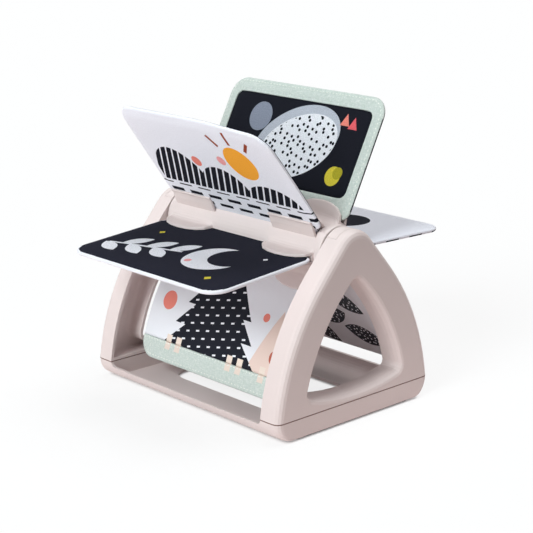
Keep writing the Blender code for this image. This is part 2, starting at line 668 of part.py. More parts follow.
def add_page_slot(bm, angle):
    """Room for one page: its tongue in the drum's wall and its full width beyond."""
    tongue = TONGUE_HALF_WIDTH + GAP
    wide = DRUM_HALF_LENGTH + OVERRUN
    inner = GROOVE_BOTTOM + OVERRUN
    step = (DRUM_RADIUS + PAGE_SHOULDER) / 2
    outer = CLIP_REACH + OVERRUN
    profile = [(tongue, inner), (tongue, step), (wide, step), (wide, outer),
               (-wide, outer), (-wide, step), (-tongue, step), (-tongue, inner)]
    add_loft(bm, [[to_page(angle, radius, offset, x) for x, radius in profile]
                  for offset in (-SLOT_HALF, SLOT_HALF)])


def make_drum_half(name, front, material, axis):
    """Half of the drum, from one parting page to the other, with its lobes, clips and slots."""
    first, last = PARTING_PAGES if front else PARTING_PAGES[::-1]
    start = page_angle(first)
    end = page_angle(last)
    while end < start:
        end += math.tau
    inner = DRUM_RADIUS - DRUM_WALL
    wall_x = DRUM_HALF_LENGTH - DRUM_END_WALL
    rim = arc((DRUM_HALF_LENGTH - DRUM_EDGE, DRUM_RADIUS - DRUM_EDGE), DRUM_EDGE, 0, math.pi / 2, 2)
    half = [(wall_x, BORE_RADIUS), (DRUM_HALF_LENGTH, BORE_RADIUS)] + rim
    section = half + [(-x, radius) for x, radius in reversed(half)] + [(-wall_x, inner), (wall_x, inner)]
    sections = []
    for step in range(ROUND_STEPS + 1):
        angle = start + (end - start) * step / ROUND_STEPS
        offset = {0: GAP / 2, ROUND_STEPS: -GAP / 2}.get(step, 0.0)
        sections.append([to_page(angle, math.sqrt(radius ** 2 - offset ** 2), offset, x)
                         for x, radius in section])
    shell = bmesh.new()
    add_loft(shell, sections)
    drum = place(name, shell, material, axis)

    grips = bmesh.new()
    slots = bmesh.new()
    for number in range(1, PAGE_COUNT + 1):
        angle = page_angle(number)
        inside = (angle - start) % math.tau < (end - start)
        if number in PARTING_PAGES:
            side = 1 if number == first else -1
            for middle in (-GRIP_CENTRE, GRIP_CENTRE):
                add_clip(grips, angle, side, middle)
            add_page_slot(slots, angle)
        elif inside:
            for middle in (-GRIP_CENTRE, GRIP_CENTRE):
                add_lobes(grips, angle, middle)
            add_page_slot(slots, angle)
    combine(drum, grips, "UNION", axis)
    combine(drum, slots, "DIFFERENCE", axis)

    bores = bmesh.new()
    for spot in drum_screw_spots(front).values():
        head = DRUM_SCREW_HEAD_RADIUS + GAP
        shank = SHANK_RADIUS + GAP
        add_turned(bores, [(0, -OVERRUN), (head, -OVERRUN), (head, GAP),
                           (shank, GAP), (shank, OVERRUN), (0, OVERRUN)], SMALL_ROUND_STEPS, spot)
    combine(drum, bores, "DIFFERENCE", axis)
    return drum


def page_outline(inset, root, tip, tongue=True, square_tip=False):
    """Outline of a page in its own plane (X, radius), with its tongue towards the axle."""
    width = PAGE_HALF_WIDTH - inset
    half = [(0.0, root)]
    if tongue:
        shoulder = PAGE_SHOULDER + inset
        half += [(TONGUE_HALF_WIDTH - inset, root), (TONGUE_HALF_WIDTH - inset, shoulder)]
        corner = PAGE_INNER_CORNER - inset
        half += arc((width - corner, shoulder + corner), corner, -math.pi / 2, 0, ARC_STEPS)
    else:
        half += [(width, root)]
    if square_tip:
        half += [(width, tip)]
    else:
        corner = PAGE_OUTER_CORNER - inset
        half += arc((width - corner, tip - inset - corner), corner, 0, math.pi / 2, ARC_STEPS)
    half += [(0.0, half[-1][1])]
    return mirror_loop(half)


def plate(angle, outline_at, half_thickness, edge):
    """A flat piece in a page's plane with rounded rims; outline_at gives its outline at an inset."""
    rim = [(edge * (1 - math.sin(turn)), half_thickness - edge * (1 - math.cos(turn)))
           for turn in (0.0, math.pi / 4, math.pi / 2)]
    levels = [(inset, -offset) for inset, offset in rim] + rim[::-1]
    return loft([[to_page(angle, radius, offset, x) for x, radius in outline_at(inset)]
                 for inset, offset in levels])


def board_outline(tip):
    return page_outline(SEAM_MARGIN + GAP, GROOVE_BOTTOM + GAP, tip)


def make_page(number, materials, axis):
    """A page: a stiff board in a sewn cover that is open at its root."""
    angle = page_angle(number)
    half = PAGE_THICKNESS / 2
    root = GROOVE_BOTTOM + GAP
    has_band = number == BAND_PAGE
    has_panel = number == PANEL_PAGE
    seam = PAGE_REACH - BAND_WIDTH
    cover_tip = seam - GAP if has_band else PAGE_REACH
    cover = place(f"page_{number}_cover", plate(
        angle, lambda inset: page_outline(inset, root, cover_tip, square_tip=has_band), half, PAGE_EDGE),
        materials["cover"], axis)
    room = loft([[to_page(angle, radius, offset, x)
                  for x, radius in page_outline(SEAM_MARGIN, root - OVERRUN, PAGE_REACH)]
                 for offset in (COVER_WALL - half, half - COVER_WALL)])
    combine(cover, room, "DIFFERENCE", axis)
    room_half = half - COVER_WALL
    board_front = room_half - GAP
    if has_band:
        band = place(f"page_{number}_band", plate(
            angle, lambda inset: page_outline(inset, seam, PAGE_REACH, tongue=False), half, PAGE_EDGE),
            materials["band"], axis)
        pocket = loft([[to_page(angle, radius, offset, x)
                        for x, radius in page_outline(SEAM_MARGIN, seam - OVERRUN, PAGE_REACH, tongue=False)]
                       for offset in (COVER_WALL - half, half - COVER_WALL)])
        combine(band, pocket, "DIFFERENCE", axis)
    if has_panel:
        window = page_window(0.0)
        cut = loft([[to_page(angle, radius, offset, x) for x, radius in window]
                    for offset in (half - COVER_WALL - GAP, half + OVERRUN)])
        combine(cover, cut, "DIFFERENCE", axis)
        panel_back = board_front - PANEL_THICKNESS
        outline = page_window(-PANEL_SIDE_MARGIN / 2)
        sheet = loft([[to_page(angle, radius, offset, x) for x, radius in outline]
                      for offset in (panel_back, board_front)])
        place(f"page_{number}_panel", sheet, materials["panel"], axis)
        board_front = panel_back - GAP
    board = loft([[to_page(angle, radius, offset, x) for x, radius in board_outline(PAGE_REACH)]
                  for offset in (GAP - room_half, board_front)])
    place(f"page_{number}_board", board, materials["board"], axis)


def page_window(inset):
    """Outline (X, radius) of the window in the mint cover, drawn in by an inset."""
    half_x = PAGE_HALF_WIDTH - PANEL_SIDE_MARGIN - inset
    high = PAGE_REACH - PANEL_OUTER_MARGIN - inset
    low = PANEL_ROOT_RADIUS + inset
    outline = rounded_rectangle(half_x, (high - low) / 2, PANEL_CORNER - inset)
    return [(x, radius + (high + low) / 2) for x, radius in outline]


def main():
    clear_scene()
    pink = make_material("pink_plastic", "#DCCAC4", 0.45)
    sole_rubber = make_material("sole_rubber", "#6F625C", 0.75)
    steel = make_material("screw_steel", "#A8A8AA", 0.35, 1.0)
    core_plastic = make_material("core_plastic", "#C9B9B3", 0.5)
    board = make_material("page_board", "#D9D3C8", 0.85)
    navy = make_material("navy_cloth", "#2A2A35", 0.9)
    lilac = make_material("lilac_cloth", "#E4E2EC", 0.9)
    mint = make_material("mint_cloth", "#C3D2C4", 0.9)
    satin = make_material("white_satin", "#E6EAF0", 0.5)
    panel = make_material("dark_panel", "#17181D", 0.7)

    shape = ArchShape()
    make_base(pink)
    for name, side in (("left", -1), ("right", 1)):
        make_arch(f"{name}_arch", side, shape, pink)
        make_bearing_cap(f"{name}_bearing_cap", side, pink)
        make_sole(f"{name}_sole", side, sole_rubber)
    make_screws("arch_screw", screw_profile(ARCH_SCREW_HEAD_RADIUS, ARCH_SCREW_LENGTH),
                arch_screw_spots(), steel)

    axis = bpy.data.objects.new("rotor_axis", None)
    bpy.context.scene.collection.objects.link(axis)
    axis.location = (0.0, 0.0, AXLE_HEIGHT)
    make_spindle(core_plastic, axis)
    make_drum_half("drum_front_half", True, pink, axis)
    make_drum_half("drum_rear_half", False, pink, axis)
    drum_spots = {**drum_screw_spots(True), **drum_screw_spots(False)}
    make_screws("drum_screw", screw_profile(DRUM_SCREW_HEAD_RADIUS, DRUM_SCREW_LENGTH),
                drum_spots, steel, axis)
    covers = {1: navy, 2: lilac, 3: mint, 4: lilac, 5: satin, 6: satin}
    for number in range(1, PAGE_COUNT + 1):
        make_page(number, {"cover": covers[number], "band": mint, "panel": panel, "board": board}, axis)


main()
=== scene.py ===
# %% [markdown]
# # A baby's spinning book
#
# Six stiff fabric pages turn like a paddle wheel between two moulded arches. The moulded pieces come
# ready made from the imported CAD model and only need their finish. The sewn pages are soft, so they are
# built here again, each as a padded form with a rolled rim, printed cloth and real stitches.

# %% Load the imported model
import json
import math

import bmesh
import bpy
from mathutils import Matrix, Vector, noise


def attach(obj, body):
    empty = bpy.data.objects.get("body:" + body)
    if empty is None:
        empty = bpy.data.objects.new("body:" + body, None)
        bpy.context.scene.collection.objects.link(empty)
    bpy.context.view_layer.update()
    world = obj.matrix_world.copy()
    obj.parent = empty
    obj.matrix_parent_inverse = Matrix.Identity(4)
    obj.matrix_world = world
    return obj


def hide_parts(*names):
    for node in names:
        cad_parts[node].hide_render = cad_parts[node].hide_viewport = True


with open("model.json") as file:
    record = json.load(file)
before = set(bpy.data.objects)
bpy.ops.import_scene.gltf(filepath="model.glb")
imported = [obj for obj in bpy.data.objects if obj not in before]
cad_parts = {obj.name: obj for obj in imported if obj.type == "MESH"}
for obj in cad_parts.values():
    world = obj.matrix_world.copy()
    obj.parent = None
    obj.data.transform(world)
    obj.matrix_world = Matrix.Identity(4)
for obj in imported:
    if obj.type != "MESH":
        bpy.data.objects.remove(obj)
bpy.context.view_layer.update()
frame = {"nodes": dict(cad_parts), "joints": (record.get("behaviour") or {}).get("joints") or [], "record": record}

MM = 0.001
nodes = frame["nodes"]

# %% [markdown]
# ## Camera
#
# The picture was taken with a long lens from the front right, a little above the toy. The place, the
# three turns and the focal length below were fitted to corners of the stand, so the render can be laid
# over the photograph.

# %% Camera
CAMERA_PLACE = (0.8776, -0.8000, 0.4290)   # m
CAMERA_YAW = math.radians(47.36)
CAMERA_PITCH = math.radians(15.44)
CAMERA_ROLL = math.radians(-0.25)
SENSOR = 36.0                # mm
FOCAL_SHARE = 1531.4 / 533   # focal length over picture width


def make_camera():
    forward = Vector((-math.sin(CAMERA_YAW) * math.cos(CAMERA_PITCH),
                      math.cos(CAMERA_YAW) * math.cos(CAMERA_PITCH), -math.sin(CAMERA_PITCH)))
    level = forward.cross(Vector((0, 0, 1))).normalized()
    upright = level.cross(forward)
    right = level * math.cos(CAMERA_ROLL) + upright * math.sin(CAMERA_ROLL)
    up = upright * math.cos(CAMERA_ROLL) - level * math.sin(CAMERA_ROLL)
    lens = bpy.data.cameras.new("camera")
    lens.sensor_width = SENSOR
    lens.lens = SENSOR * FOCAL_SHARE
    lens.clip_start = 0.05
    camera = bpy.data.objects.new("camera", lens)
    bpy.context.scene.collection.objects.link(camera)
    turned = Matrix((right, up, -forward)).transposed().to_4x4()
    camera.matrix_world = Matrix.Translation(CAMERA_PLACE) @ turned
    bpy.context.scene.camera = camera
    return camera


print("lens, mm:", round(make_camera().data.lens, 1))

# %% [markdown]
# ## Helpers for every material
#
# Colours are written as they look on a screen, so one function turns them to the linear values that a
# renderer mixes, and another makes a darker or lighter shade. One more adds a node, sets it and wires
# it, so that a material reads from top to bottom like a recipe.

# %% Colours


def linear(hex_colour):
    """Linear colour of a screen colour such as #E4DAD6, by the curve that defines sRGB."""
    channels = [int(hex_colour[start:start + 2], 16) / 255 for start in (1, 3, 5)]
    curve = [value / 12.92 if value <= 0.04045 else ((value + 0.055) / 1.055) ** 2.4 for value in channels]
    return curve + [1.0]


def tint(hex_colour, factor):
    """A screen colour made darker or lighter by a factor."""
    channels = [min(255, round(int(hex_colour[start:start + 2], 16) * factor)) for start in (1, 3, 5)]
    return "#" + "".join(f"{value:02X}" for value in channels)


print("half grey in linear light:", round(linear("#808080")[0], 3))

# %% Nodes


def add(tree, kind, inputs=None, **settings):
    """Adds a node; inputs are values, screen colours or other nodes' outputs."""
    made = tree.nodes.new("ShaderNode" + kind)
    for name, value in settings.items():
        setattr(made, name, value)
    for key, value in (inputs or {}).items():
        if isinstance(value, bpy.types.NodeSocket):
            tree.links.new(value, made.inputs[key])
        elif isinstance(value, str):
            made.inputs[key].default_value = linear(value)
        else:
            made.inputs[key].default_value = value
    return made


def new_material(name):
    material = bpy.data.materials.new(name)
    material.use_nodes = True
    material.node_tree.nodes.clear()
    return material, material.node_tree


def mix_colour(tree, share, below, above):
    return add(tree, "Mix", {0: share, 6: below, 7: above}, data_type="RGBA").outputs[2]


def maths(tree, operation, first, second=0.5, third=0.0):
    return add(tree, "Math", {0: first, 1: second, 2: third}, operation=operation).outputs[0]


def finish_material(tree, colour, height, bump_mm, **shader):
    """Wires a colour and a height into one shader; height is in units of bump_mm."""
    bump = add(tree, "Bump", {"Strength": 1.0, "Distance": bump_mm * MM, "Height": height})
    surface = add(tree, "BsdfPrincipled", {"Base Color": colour, "Normal": bump.outputs[0]})
    for name, value in shader.items():
        socket = surface.inputs[name.replace("_", " ")]
        if isinstance(value, bpy.types.NodeSocket):
            tree.links.new(value, socket)
        else:
            socket.default_value = value
    output = add(tree, "OutputMaterial", {"Surface": surface.outputs[0]})
    output.is_active_output = True


# %% [markdown]
# ## The moulded plastic
#
# The stand and the drum are injection moulded polypropylene in one dusty pink. The mould was spark
# eroded, which leaves a satin skin of very fine pits. The colour is pigment in the whole wall, so it
# hardly varies. The pits are about 0.15 mm wide, too fine for the render, so they are drawn at 0.5 mm.
# The joint between base and arches is narrower than a pixel too. The shade in it is painted: the colour
# is darker in a thin layer at its height, a painted shadow line.

# %% Moulded polypropylene
PLASTIC_PINK = "#E9DAD7"
CORE_PINK = "#D2C0BB"   # of the spindle, inside the drum
PLASTIC_PIT = 0.5       # mm across a pit
PLASTIC_FLOW = 18.0     # per metre, so clouds of pigment about 55 mm across
FLOW_SHADE = 0.965      # how much darker such a cloud is
GLOSS_SPREAD = 0.05     # how far the roughness strays from pit to pit
SEAM_HEIGHT = 0.01695   # m, middle of the joint between base and arches
SEAM_HALF = 0.00045     # m, half height of the painted shade line, drawn a little wider than the real joint
SEAM_SHADE_BROWN = "#93766F"


def moulded_polypropylene(name, hex_colour, roughness):
    material, tree = new_material(name)
    place = add(tree, "TexCoord").outputs["Object"]
    flow = add(tree, "TexNoise", {"Vector": place, "Scale": PLASTIC_FLOW, "Detail": 2.0})
    colour = mix_colour(tree, flow.outputs[0], hex_colour, tint(hex_colour, FLOW_SHADE))
    height = add(tree, "SeparateXYZ", {0: place}).outputs[2]
    # painted shade: a dark brown line in a thin layer at the height of the joint between base and arches
    joint = maths(tree, "COMPARE", height, SEAM_HEIGHT, SEAM_HALF)
    colour = mix_colour(tree, joint, colour, SEAM_SHADE_BROWN)
    pits = add(tree, "TexNoise", {"Vector": place, "Scale": 1 / (PLASTIC_PIT * MM), "Detail": 3.0})
    gloss = add(tree, "MapRange", {"Value": pits.outputs[0], "To Min": roughness - GLOSS_SPREAD,
                                   "To Max": roughness + GLOSS_SPREAD})
    finish_material(tree, colour, pits.outputs[0], bump_mm=0.02, Roughness=gloss.outputs[0], IOR=1.49,
                    Specular_IOR_Level=0.35)
    return material


pink_plastic = moulded_polypropylene("moulded_polypropylene_pink", PLASTIC_PINK, roughness=0.42)
core_plastic = moulded_polypropylene("moulded_polypropylene_core", CORE_PINK, roughness=0.5)
print("plastic materials made")

# %% [markdown]
# ## Soles, screws and boards
#
# The soles are a soft rubber with a matt moulded skin, so that the toy doesn't slide. The screws are
# zinc plated steel with faint marks from turning. The boards are pressed grey board with short fibres.
# Little of these shows, but each has its own finish, because the toy is also seen from below.

# %% Rubber, zinc plated steel and grey board
RUBBER_BLOOM = 60.0     # per metre, so patches of about 17 mm
RUBBER_SKIN = 1600.0    # per metre, a grain of 0.6 mm
STEEL_TURNING = 900.0   # per metre, marks of 1.1 mm
BOARD_FIBRE = 700.0     # per metre, fibres of 1.4 mm


def moulded_rubber(name, hex_colour):
    material, tree = new_material(name)
    place = add(tree, "TexCoord").outputs["Object"]
    bloom = add(tree, "TexNoise", {"Vector": place, "Scale": RUBBER_BLOOM, "Detail": 4.0})
    colour = mix_colour(tree, bloom.outputs[0], tint(hex_colour, 0.9), tint(hex_colour, 1.1))
    skin = add(tree, "TexNoise", {"Vector": place, "Scale": RUBBER_SKIN, "Detail": 2.0})
    finish_material(tree, colour, skin.outputs[0], bump_mm=0.05, Roughness=0.78, IOR=1.52)
    return material


def zinc_plated_steel(name):
    material, tree = new_material(name)
    place = add(tree, "TexCoord").outputs["Object"]
    turning = add(tree, "TexNoise", {"Vector": place, "Scale": STEEL_TURNING, "Detail": 3.0})
    colour = mix_colour(tree, turning.outputs[0], "#A9ABAE", "#C6C7C6")
    gloss = add(tree, "MapRange", {"Value": turning.outputs[0], "To Min": 0.28, "To Max": 0.45})
    finish_material(tree, colour, turning.outputs[0], bump_mm=0.01, Roughness=gloss.outputs[0], Metallic=1.0)
    return material


def pressed_grey_board(name):
    material, tree = new_material(name)
    place = add(tree, "TexCoord").outputs["Object"]
    fibres = add(tree, "TexNoise", {"Vector": place, "Scale": BOARD_FIBRE, "Detail": 5.0, "Distortion": 1.2})
    colour = mix_colour(tree, fibres.outputs[0], "#CFC8BB", "#E2DCD0")
    finish_material(tree, colour, fibres.outputs[0], bump_mm=0.06, Roughness=0.85)
    return material


sole_rubber = moulded_rubber("moulded_rubber_sole", "#4B403D")
screw_steel = zinc_plated_steel("zinc_plated_steel")
page_board = pressed_grey_board("pressed_grey_board")
print("finishes of soles, screws and boards made")

# %% [markdown]
# ## Dressing the CAD nodes
#
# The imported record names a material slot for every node, so one table gives each slot its finish. The
# slots of the cloths aren't in it, because the sewn pieces below bring their own.

# %% A finish for every moulded node
FINISH_OF_SLOT = {"pink_plastic": pink_plastic, "core_plastic": core_plastic, "sole_rubber": sole_rubber,
                  "screw_steel": screw_steel, "page_board": page_board}
dressed = 0
for row in frame["record"]["subparts"]:
    finish = FINISH_OF_SLOT.get(row["material_slot"])
    if finish:
        piece = nodes[row["node"]]
        piece.data.materials.clear()
        piece.data.materials.append(finish)
        dressed += 1
print("CAD nodes with a finish:", dressed)

# %% [markdown]
# ## Where each page stands
#
# A page is drawn flat, in its own coordinates: x along the axle and r outwards from the axle, both in
# millimetres. Its angle about the axle is measured on the CAD cover's far edge, so the cloth can't
# drift away from the model. The side that the angle grows towards is called the plus side.

# %% Page planes
AXLE = Vector((0.0, 0.0, frame["joints"][0]["pos_m"][2]))
PAGES = (1, 2, 3, 4, 5, 6)


def page_turn(number):
    """Angle of a page's middle plane about the axle, from +Y towards +Z."""
    points = [vertex.co - AXLE for name in (f"page_{number}_cover", f"page_{number}_band") if name in nodes
              for vertex in nodes[name].data.vertices]
    reach = max(math.hypot(point.y, point.z) for point in points)
    edge = [point for point in points if math.hypot(point.y, point.z) > reach - 0.1 * MM]
    return math.atan2(sum(point.z for point in edge), sum(point.y for point in edge))


TURNS = {number: page_turn(number) for number in PAGES}
print("page angles:", {number: round(math.degrees(turn), 2) for number, turn in TURNS.items()})

# %% [markdown]
# ## The shape of a sewn page
#
# A real page is two pieces of cloth, sewn face to face along three sides, turned right side out and
# filled with a board between thin layers of wadding. So its rim is a rolled fold that is thinner than the
# middle, and the cloth puckers a little along the seam. A page is only 4.4 mm thick, thinner than a
# cell of the remeshing that a cloth simulation needs, so the cushion's swell is laid on a grid of
# points by a formula: a quarter round at the rim, then a slow rise to the full thickness.

# %% Page outline, in millimetres
TIP = 124.0             # radius of the far edge
ROOT = 9.8              # radius at which the cloth ends, inside the drum
SIDE = 87.5             # half of a page's width
TONGUE = 79.5           # half of the width inside the drum
SHOULDER = 24.0         # radius at which the page widens
TIP_CORNER = 16.0
SHOULDER_CORNER = 8.0
HALF_THICK = 2.2
RIM_ROUND = 1.5         # radius of the rolled rim
SWELL_WIDTH = 9.0       # distance from the rim to the full thickness
SEAM_ROUND = 0.5        # rounding where two cloths meet at a seam
BAND_START = 107.0      # radius at which the sewn-on band of page 6 begins
STEP = 3.2              # spacing of the grid
ROOT_ROWS = (0.0, 0.5, 5.0, 10.0)
RIM_STEPS = (0.0, 0.12, 0.42, 0.9, 1.5, 2.4, 3.6, 5.2, 7.0, 9.0)


def half_width(r):
    """Half of a page's width at a radius."""
    if r <= SHOULDER:
        return TONGUE
    if r < SHOULDER + SHOULDER_CORNER:
        drop = SHOULDER + SHOULDER_CORNER - r
        return SIDE - SHOULDER_CORNER + math.sqrt(SHOULDER_CORNER ** 2 - drop ** 2)
    rise = max(r - TIP + TIP_CORNER, 0.0)
    return SIDE - TIP_CORNER + math.sqrt(max(TIP_CORNER ** 2 - rise ** 2, 0.0))


def rim_distance(x, r):
    """Distance from a point of a page to its rim."""
    across, out, low = SIDE - abs(x), TIP - r, r - SHOULDER
    if low <= 0:
        return TONGUE - abs(x)
    if out < TIP_CORNER and across < TIP_CORNER:
        return TIP_CORNER - math.hypot(TIP_CORNER - across, TIP_CORNER - out)
    if low < SHOULDER_CORNER:
        beyond = abs(x) - (SIDE - SHOULDER_CORNER)
        if beyond > 0:
            return SHOULDER_CORNER - math.hypot(beyond, SHOULDER_CORNER - low)
        return math.hypot(beyond, low)
    return min(across, out)


def rounding(distance, radius):
    """Height of a quarter round at a distance from its edge, as a share of its radius."""
    back = 1 - min(max(distance, 0.0) / radius, 1.0)
    return math.sqrt(1 - back ** 2)


def smooth(share):
    share = min(max(share, 0.0), 1.0)
    return share * share * (3 - 2 * share)


def swell(x, r):
    """Half of a page's thickness at a point."""
    distance = rim_distance(x, r)
    rise = smooth((distance - RIM_ROUND) / (SWELL_WIDTH - RIM_ROUND))
    return (RIM_ROUND + (HALF_THICK - RIM_ROUND) * rise) * rounding(distance, RIM_ROUND)


HALF_REACH = (SHOULDER + TIP) / 2
print("thickness in the middle of a page, mm:", round(2 * swell(0, HALF_REACH), 2))

# %% [markdown]
# ## Bows and puckers
#
# The photograph shows that the boards aren't quite flat: page 6 bows towards the front, and the far
# right corner of page 2 leans forward. Each bow is a smooth function of the place on the page, so that
# both cloths, the rim and the stitches follow it alike. The puckers are a fine noise that fades away
# from the rim, and the wadding adds a slow wave of a few tenths of a millimetre.

# %% Bows, puckers and the way from page to space
BOW_OF_6 = -4.2         # mm, at half reach
DROOP_OF_2 = 4.0        # mm, at the far right corner
PUCKER = 0.10           # mm, depth of a pucker
PUCKER_LENGTH = 5.0
PUCKER_REACH = 12.0     # distance from the rim at which the puckers end
PUCKER_SEED = 40        # sets the noise of the puckers apart from that of the waves
WAVE = 0.22             # mm, height of a wave
WAVE_LENGTH = 34.0
WAVE_START = 6.0        # distance from the rim at which a wave has its full height
HELD = 12.0             # mm beyond the shoulder in which the drum holds the page flat
FREEING = 10.0          # mm further out in which the cloth comes free


def bow(number, x, r):
    """How far the middle of a page lies off its flat plane."""
    out = min(max((r - SHOULDER) / (TIP - SHOULDER), 0.0), 1.0)
    if number == 6:
        return BOW_OF_6 * math.sin(math.pi * out) ** 1.5
    if number == 2:
        return DROOP_OF_2 * smooth(x / SIDE) * out ** 2
    return 0.0


def fine_relief(number, side, x, r):
    """Waves of the wadding and puckers along the rim."""
    free = smooth((r - SHOULDER - HELD) / FREEING)
    distance = rim_distance(x, r)
    seed = 10.0 * number + side
    wave = noise.noise(Vector((x / WAVE_LENGTH, r / WAVE_LENGTH, seed)))
    pucker = noise.noise(Vector((x / PUCKER_LENGTH, r / PUCKER_LENGTH, seed + PUCKER_SEED)))
    near_rim = smooth(1 - distance / PUCKER_REACH) * smooth(distance / RIM_ROUND)
    return free * (WAVE * wave * smooth(distance / WAVE_START) + PUCKER * pucker * near_rim)


def in_space(number, x, r, offset):
    """A point of a page, given in millimetres, in the model's own space."""
    turn = TURNS[number]
    return AXLE + MM * Vector((x, r * math.cos(turn) - offset * math.sin(turn),
                               r * math.sin(turn) + offset * math.cos(turn)))


def on_cloth(number, side, x, r, above=0.0):
    """A point on the face of a page, or a little above it."""
    offset = bow(number, x, r) + side * (swell(x, r) + fine_relief(number, side, x, r) + above)
    return in_space(number, x, r, offset)


print("bow of page 6 at half reach, mm:", round(bow(6, 0, HALF_REACH), 2))

# %% [markdown]
# ## From grid to cloth
#
# Rows of points run across the page and lie close together near the rim, where the form is most
# curved. The two faces share their outermost points, which closes the form without a single stray
# edge. Each point also keeps its flat place as an attribute, and the printed patterns read that, so
# they follow the cloth however it bends.

# %% Cloth builder


def spread(start, end):
    """Values from start up to end, about one grid step apart, the start left out."""
    count = max(1, round((end - start) / STEP))
    return [start + (end - start) * step / count for step in range(1, count + 1)]


def row_radii(start, end):
    """Radii of a page's rows, close together at its corners and at its ends."""
    corner = [SHOULDER + SHOULDER_CORNER * (1 - math.cos(math.radians(turn))) for turn in range(0, 91, 15)]
    radii = [ROOT + rise for rise in ROOT_ROWS] + corner
    radii += spread(SHOULDER + SHOULDER_CORNER, TIP - TIP_CORNER)
    radii += [TIP - TIP_CORNER + TIP_CORNER * math.sin(math.radians(turn)) for turn in range(9, 91, 9)]
    inner = [radius for radius in radii if start + SEAM_ROUND < radius < end - SEAM_ROUND]
    ends = {start: (start, start + SEAM_ROUND / 4, start + SEAM_ROUND),
            end: (end - SEAM_ROUND, end - SEAM_ROUND / 4, end)}
    head = [ROOT] if start == ROOT else list(ends[start])
    tail = [radii[-2], radii[-1]] if end == TIP else list(ends[end])
    return sorted(set(head + inner + tail))


def column_shares():
    """Places across a page as shares of its half width, close together at the sides."""
    right = [1 - distance / SIDE for distance in RIM_STEPS]
    middle = [value / SIDE for value in spread(0, SIDE - RIM_STEPS[-1])][:-1]
    half = middle + right[::-1]
    return [-value for value in reversed(half)] + [0.0] + half


def close_mesh(bm, mesh):
    """Turns every face outwards and hands the points over to the mesh."""
    bmesh.ops.recalc_face_normals(bm, faces=bm.faces[:])
    bm.to_mesh(mesh)
    bm.free()
    return mesh


def cloth_mesh(name, number, start, end, extra=0.0):
    """A closed padded form between two radii of a page; extra adds to its half thickness."""
    radii, shares = row_radii(start, end), column_shares()
    bm = bmesh.new()
    place = bm.verts.layers.float_vector.new("sheet")
    plus_side = bm.faces.layers.int.new("plus_side")

    def point(side, x, r):
        closing = rounding(r - start, SEAM_ROUND) if start != ROOT else 1.0
        closing *= rounding(end - r, SEAM_ROUND) if end != TIP else 1.0
        thick = swell(x, r) + fine_relief(number, side, x, r) + extra * smooth(rim_distance(x, r))
        vertex = bm.verts.new(in_space(number, x, r, bow(number, x, r) + side * thick * closing))
        vertex[place] = (x, r, 0.0)
        return vertex

    sides = {}
    last = (len(radii) - 1, len(shares) - 1)
    for side in (1, -1):
        sides[side] = []
        for i, r in enumerate(radii):
            row = []
            for j, share in enumerate(shares):
                rim = i in (0, last[0]) or j in (0, last[1])
                if side < 0 and rim:
                    row.append(sides[1][i][j])
                else:
                    row.append(point(0 if rim else side, share * half_width(r), r))
            sides[side].append(row)
    for side, rows in sides.items():
        for i in range(last[0]):
            for j in range(last[1]):
                corners = [rows[i][j], rows[i][j + 1], rows[i + 1][j + 1], rows[i + 1][j]]
                face = bm.faces.new(corners if side > 0 else corners[::-1])
                face[plus_side] = side
                face.smooth = True
    return close_mesh(bm, bpy.data.meshes.new(name))


def link_piece(name, mesh):
    piece = bpy.data.objects.new(name, mesh)
    bpy.context.scene.collection.objects.link(piece)
    return piece


def two_sided(mesh, plus, minus, rim_side, margin):
    """Gives each face its cloth: one cloth is turned over the rim and ends a margin inside it."""
    mesh.materials.append(plus)
    mesh.materials.append(minus)
    sides = mesh.attributes["plus_side"].data
    places = mesh.attributes["sheet"].data
    for polygon in mesh.polygons:
        side = sides[polygon.index].value
        corners = [Vector(places[vertex].vector) for vertex in polygon.vertices]
        middle = sum(corners, Vector()) / len(corners)
        if side != rim_side and rim_distance(middle.x, middle.y) < margin:
            side = rim_side
        polygon.material_index = 0 if side > 0 else 1


print("points across a page:", len(column_shares()), "and outwards:", len(row_radii(ROOT, TIP)))

# %% [markdown]
# ## Cloth
#
# Three cloths are used. The navy and lilac cloth is a plain woven polyester with a dry, slightly fuzzy
# face. The mint cloth is a melange, spun from lighter and darker fibres, so it looks speckled along
# both threads. The white of pages 5 and 6, and under page 1, is a smooth satin with long floating
# threads and a soft gloss. The threads are 0.3 mm apart, finer than a pixel, so the weave is drawn at
# 0.9 mm, where it shows as a grain.

# %% Weave helpers
WEAVE = 0.9             # mm between drawn threads
MELANGE_LONG = 0.25     # per mm along a thread
MELANGE_FINE = 1.5      # per mm across the threads


def sheet_place(tree):
    """Place on the flat page, in millimetres."""
    return add(tree, "Attribute", attribute_name="sheet").outputs["Vector"]


def shaded(tree, colour, factor):
    """A colour made darker or lighter by a factor."""
    return add(tree, "HueSaturation", {"Value": factor, "Color": colour}).outputs[0]


def plain_weave(tree, place, pitch):
    """Height of crossing threads: over and under in both directions."""
    turns = add(tree, "VectorMath", {0: place, "Scale": math.pi / pitch}, operation="SCALE").outputs[0]
    waves = add(tree, "VectorMath", {0: turns}, operation="SINE").outputs[0]
    parts = add(tree, "SeparateXYZ", {0: waves})
    return maths(tree, "ABSOLUTE", maths(tree, "MULTIPLY", parts.outputs[0], parts.outputs[1]))


def melange(tree, place):
    """Speckle of mixed fibres that run along the warp and the weft."""
    shares = []
    for scale in ((MELANGE_LONG, MELANGE_FINE, 1), (MELANGE_FINE, MELANGE_LONG, 1)):
        along = add(tree, "VectorMath", {0: place, 1: scale}, operation="MULTIPLY").outputs[0]
        shares.append(add(tree, "TexNoise", {"Vector": along, "Scale": 1.0, "Detail": 3.0}).outputs[0])
    return maths(tree, "ADD", maths(tree, "SUBTRACT", shares[0], 0.5), shares[1])


print("threads drawn across a page:", round(2 * SIDE / WEAVE))

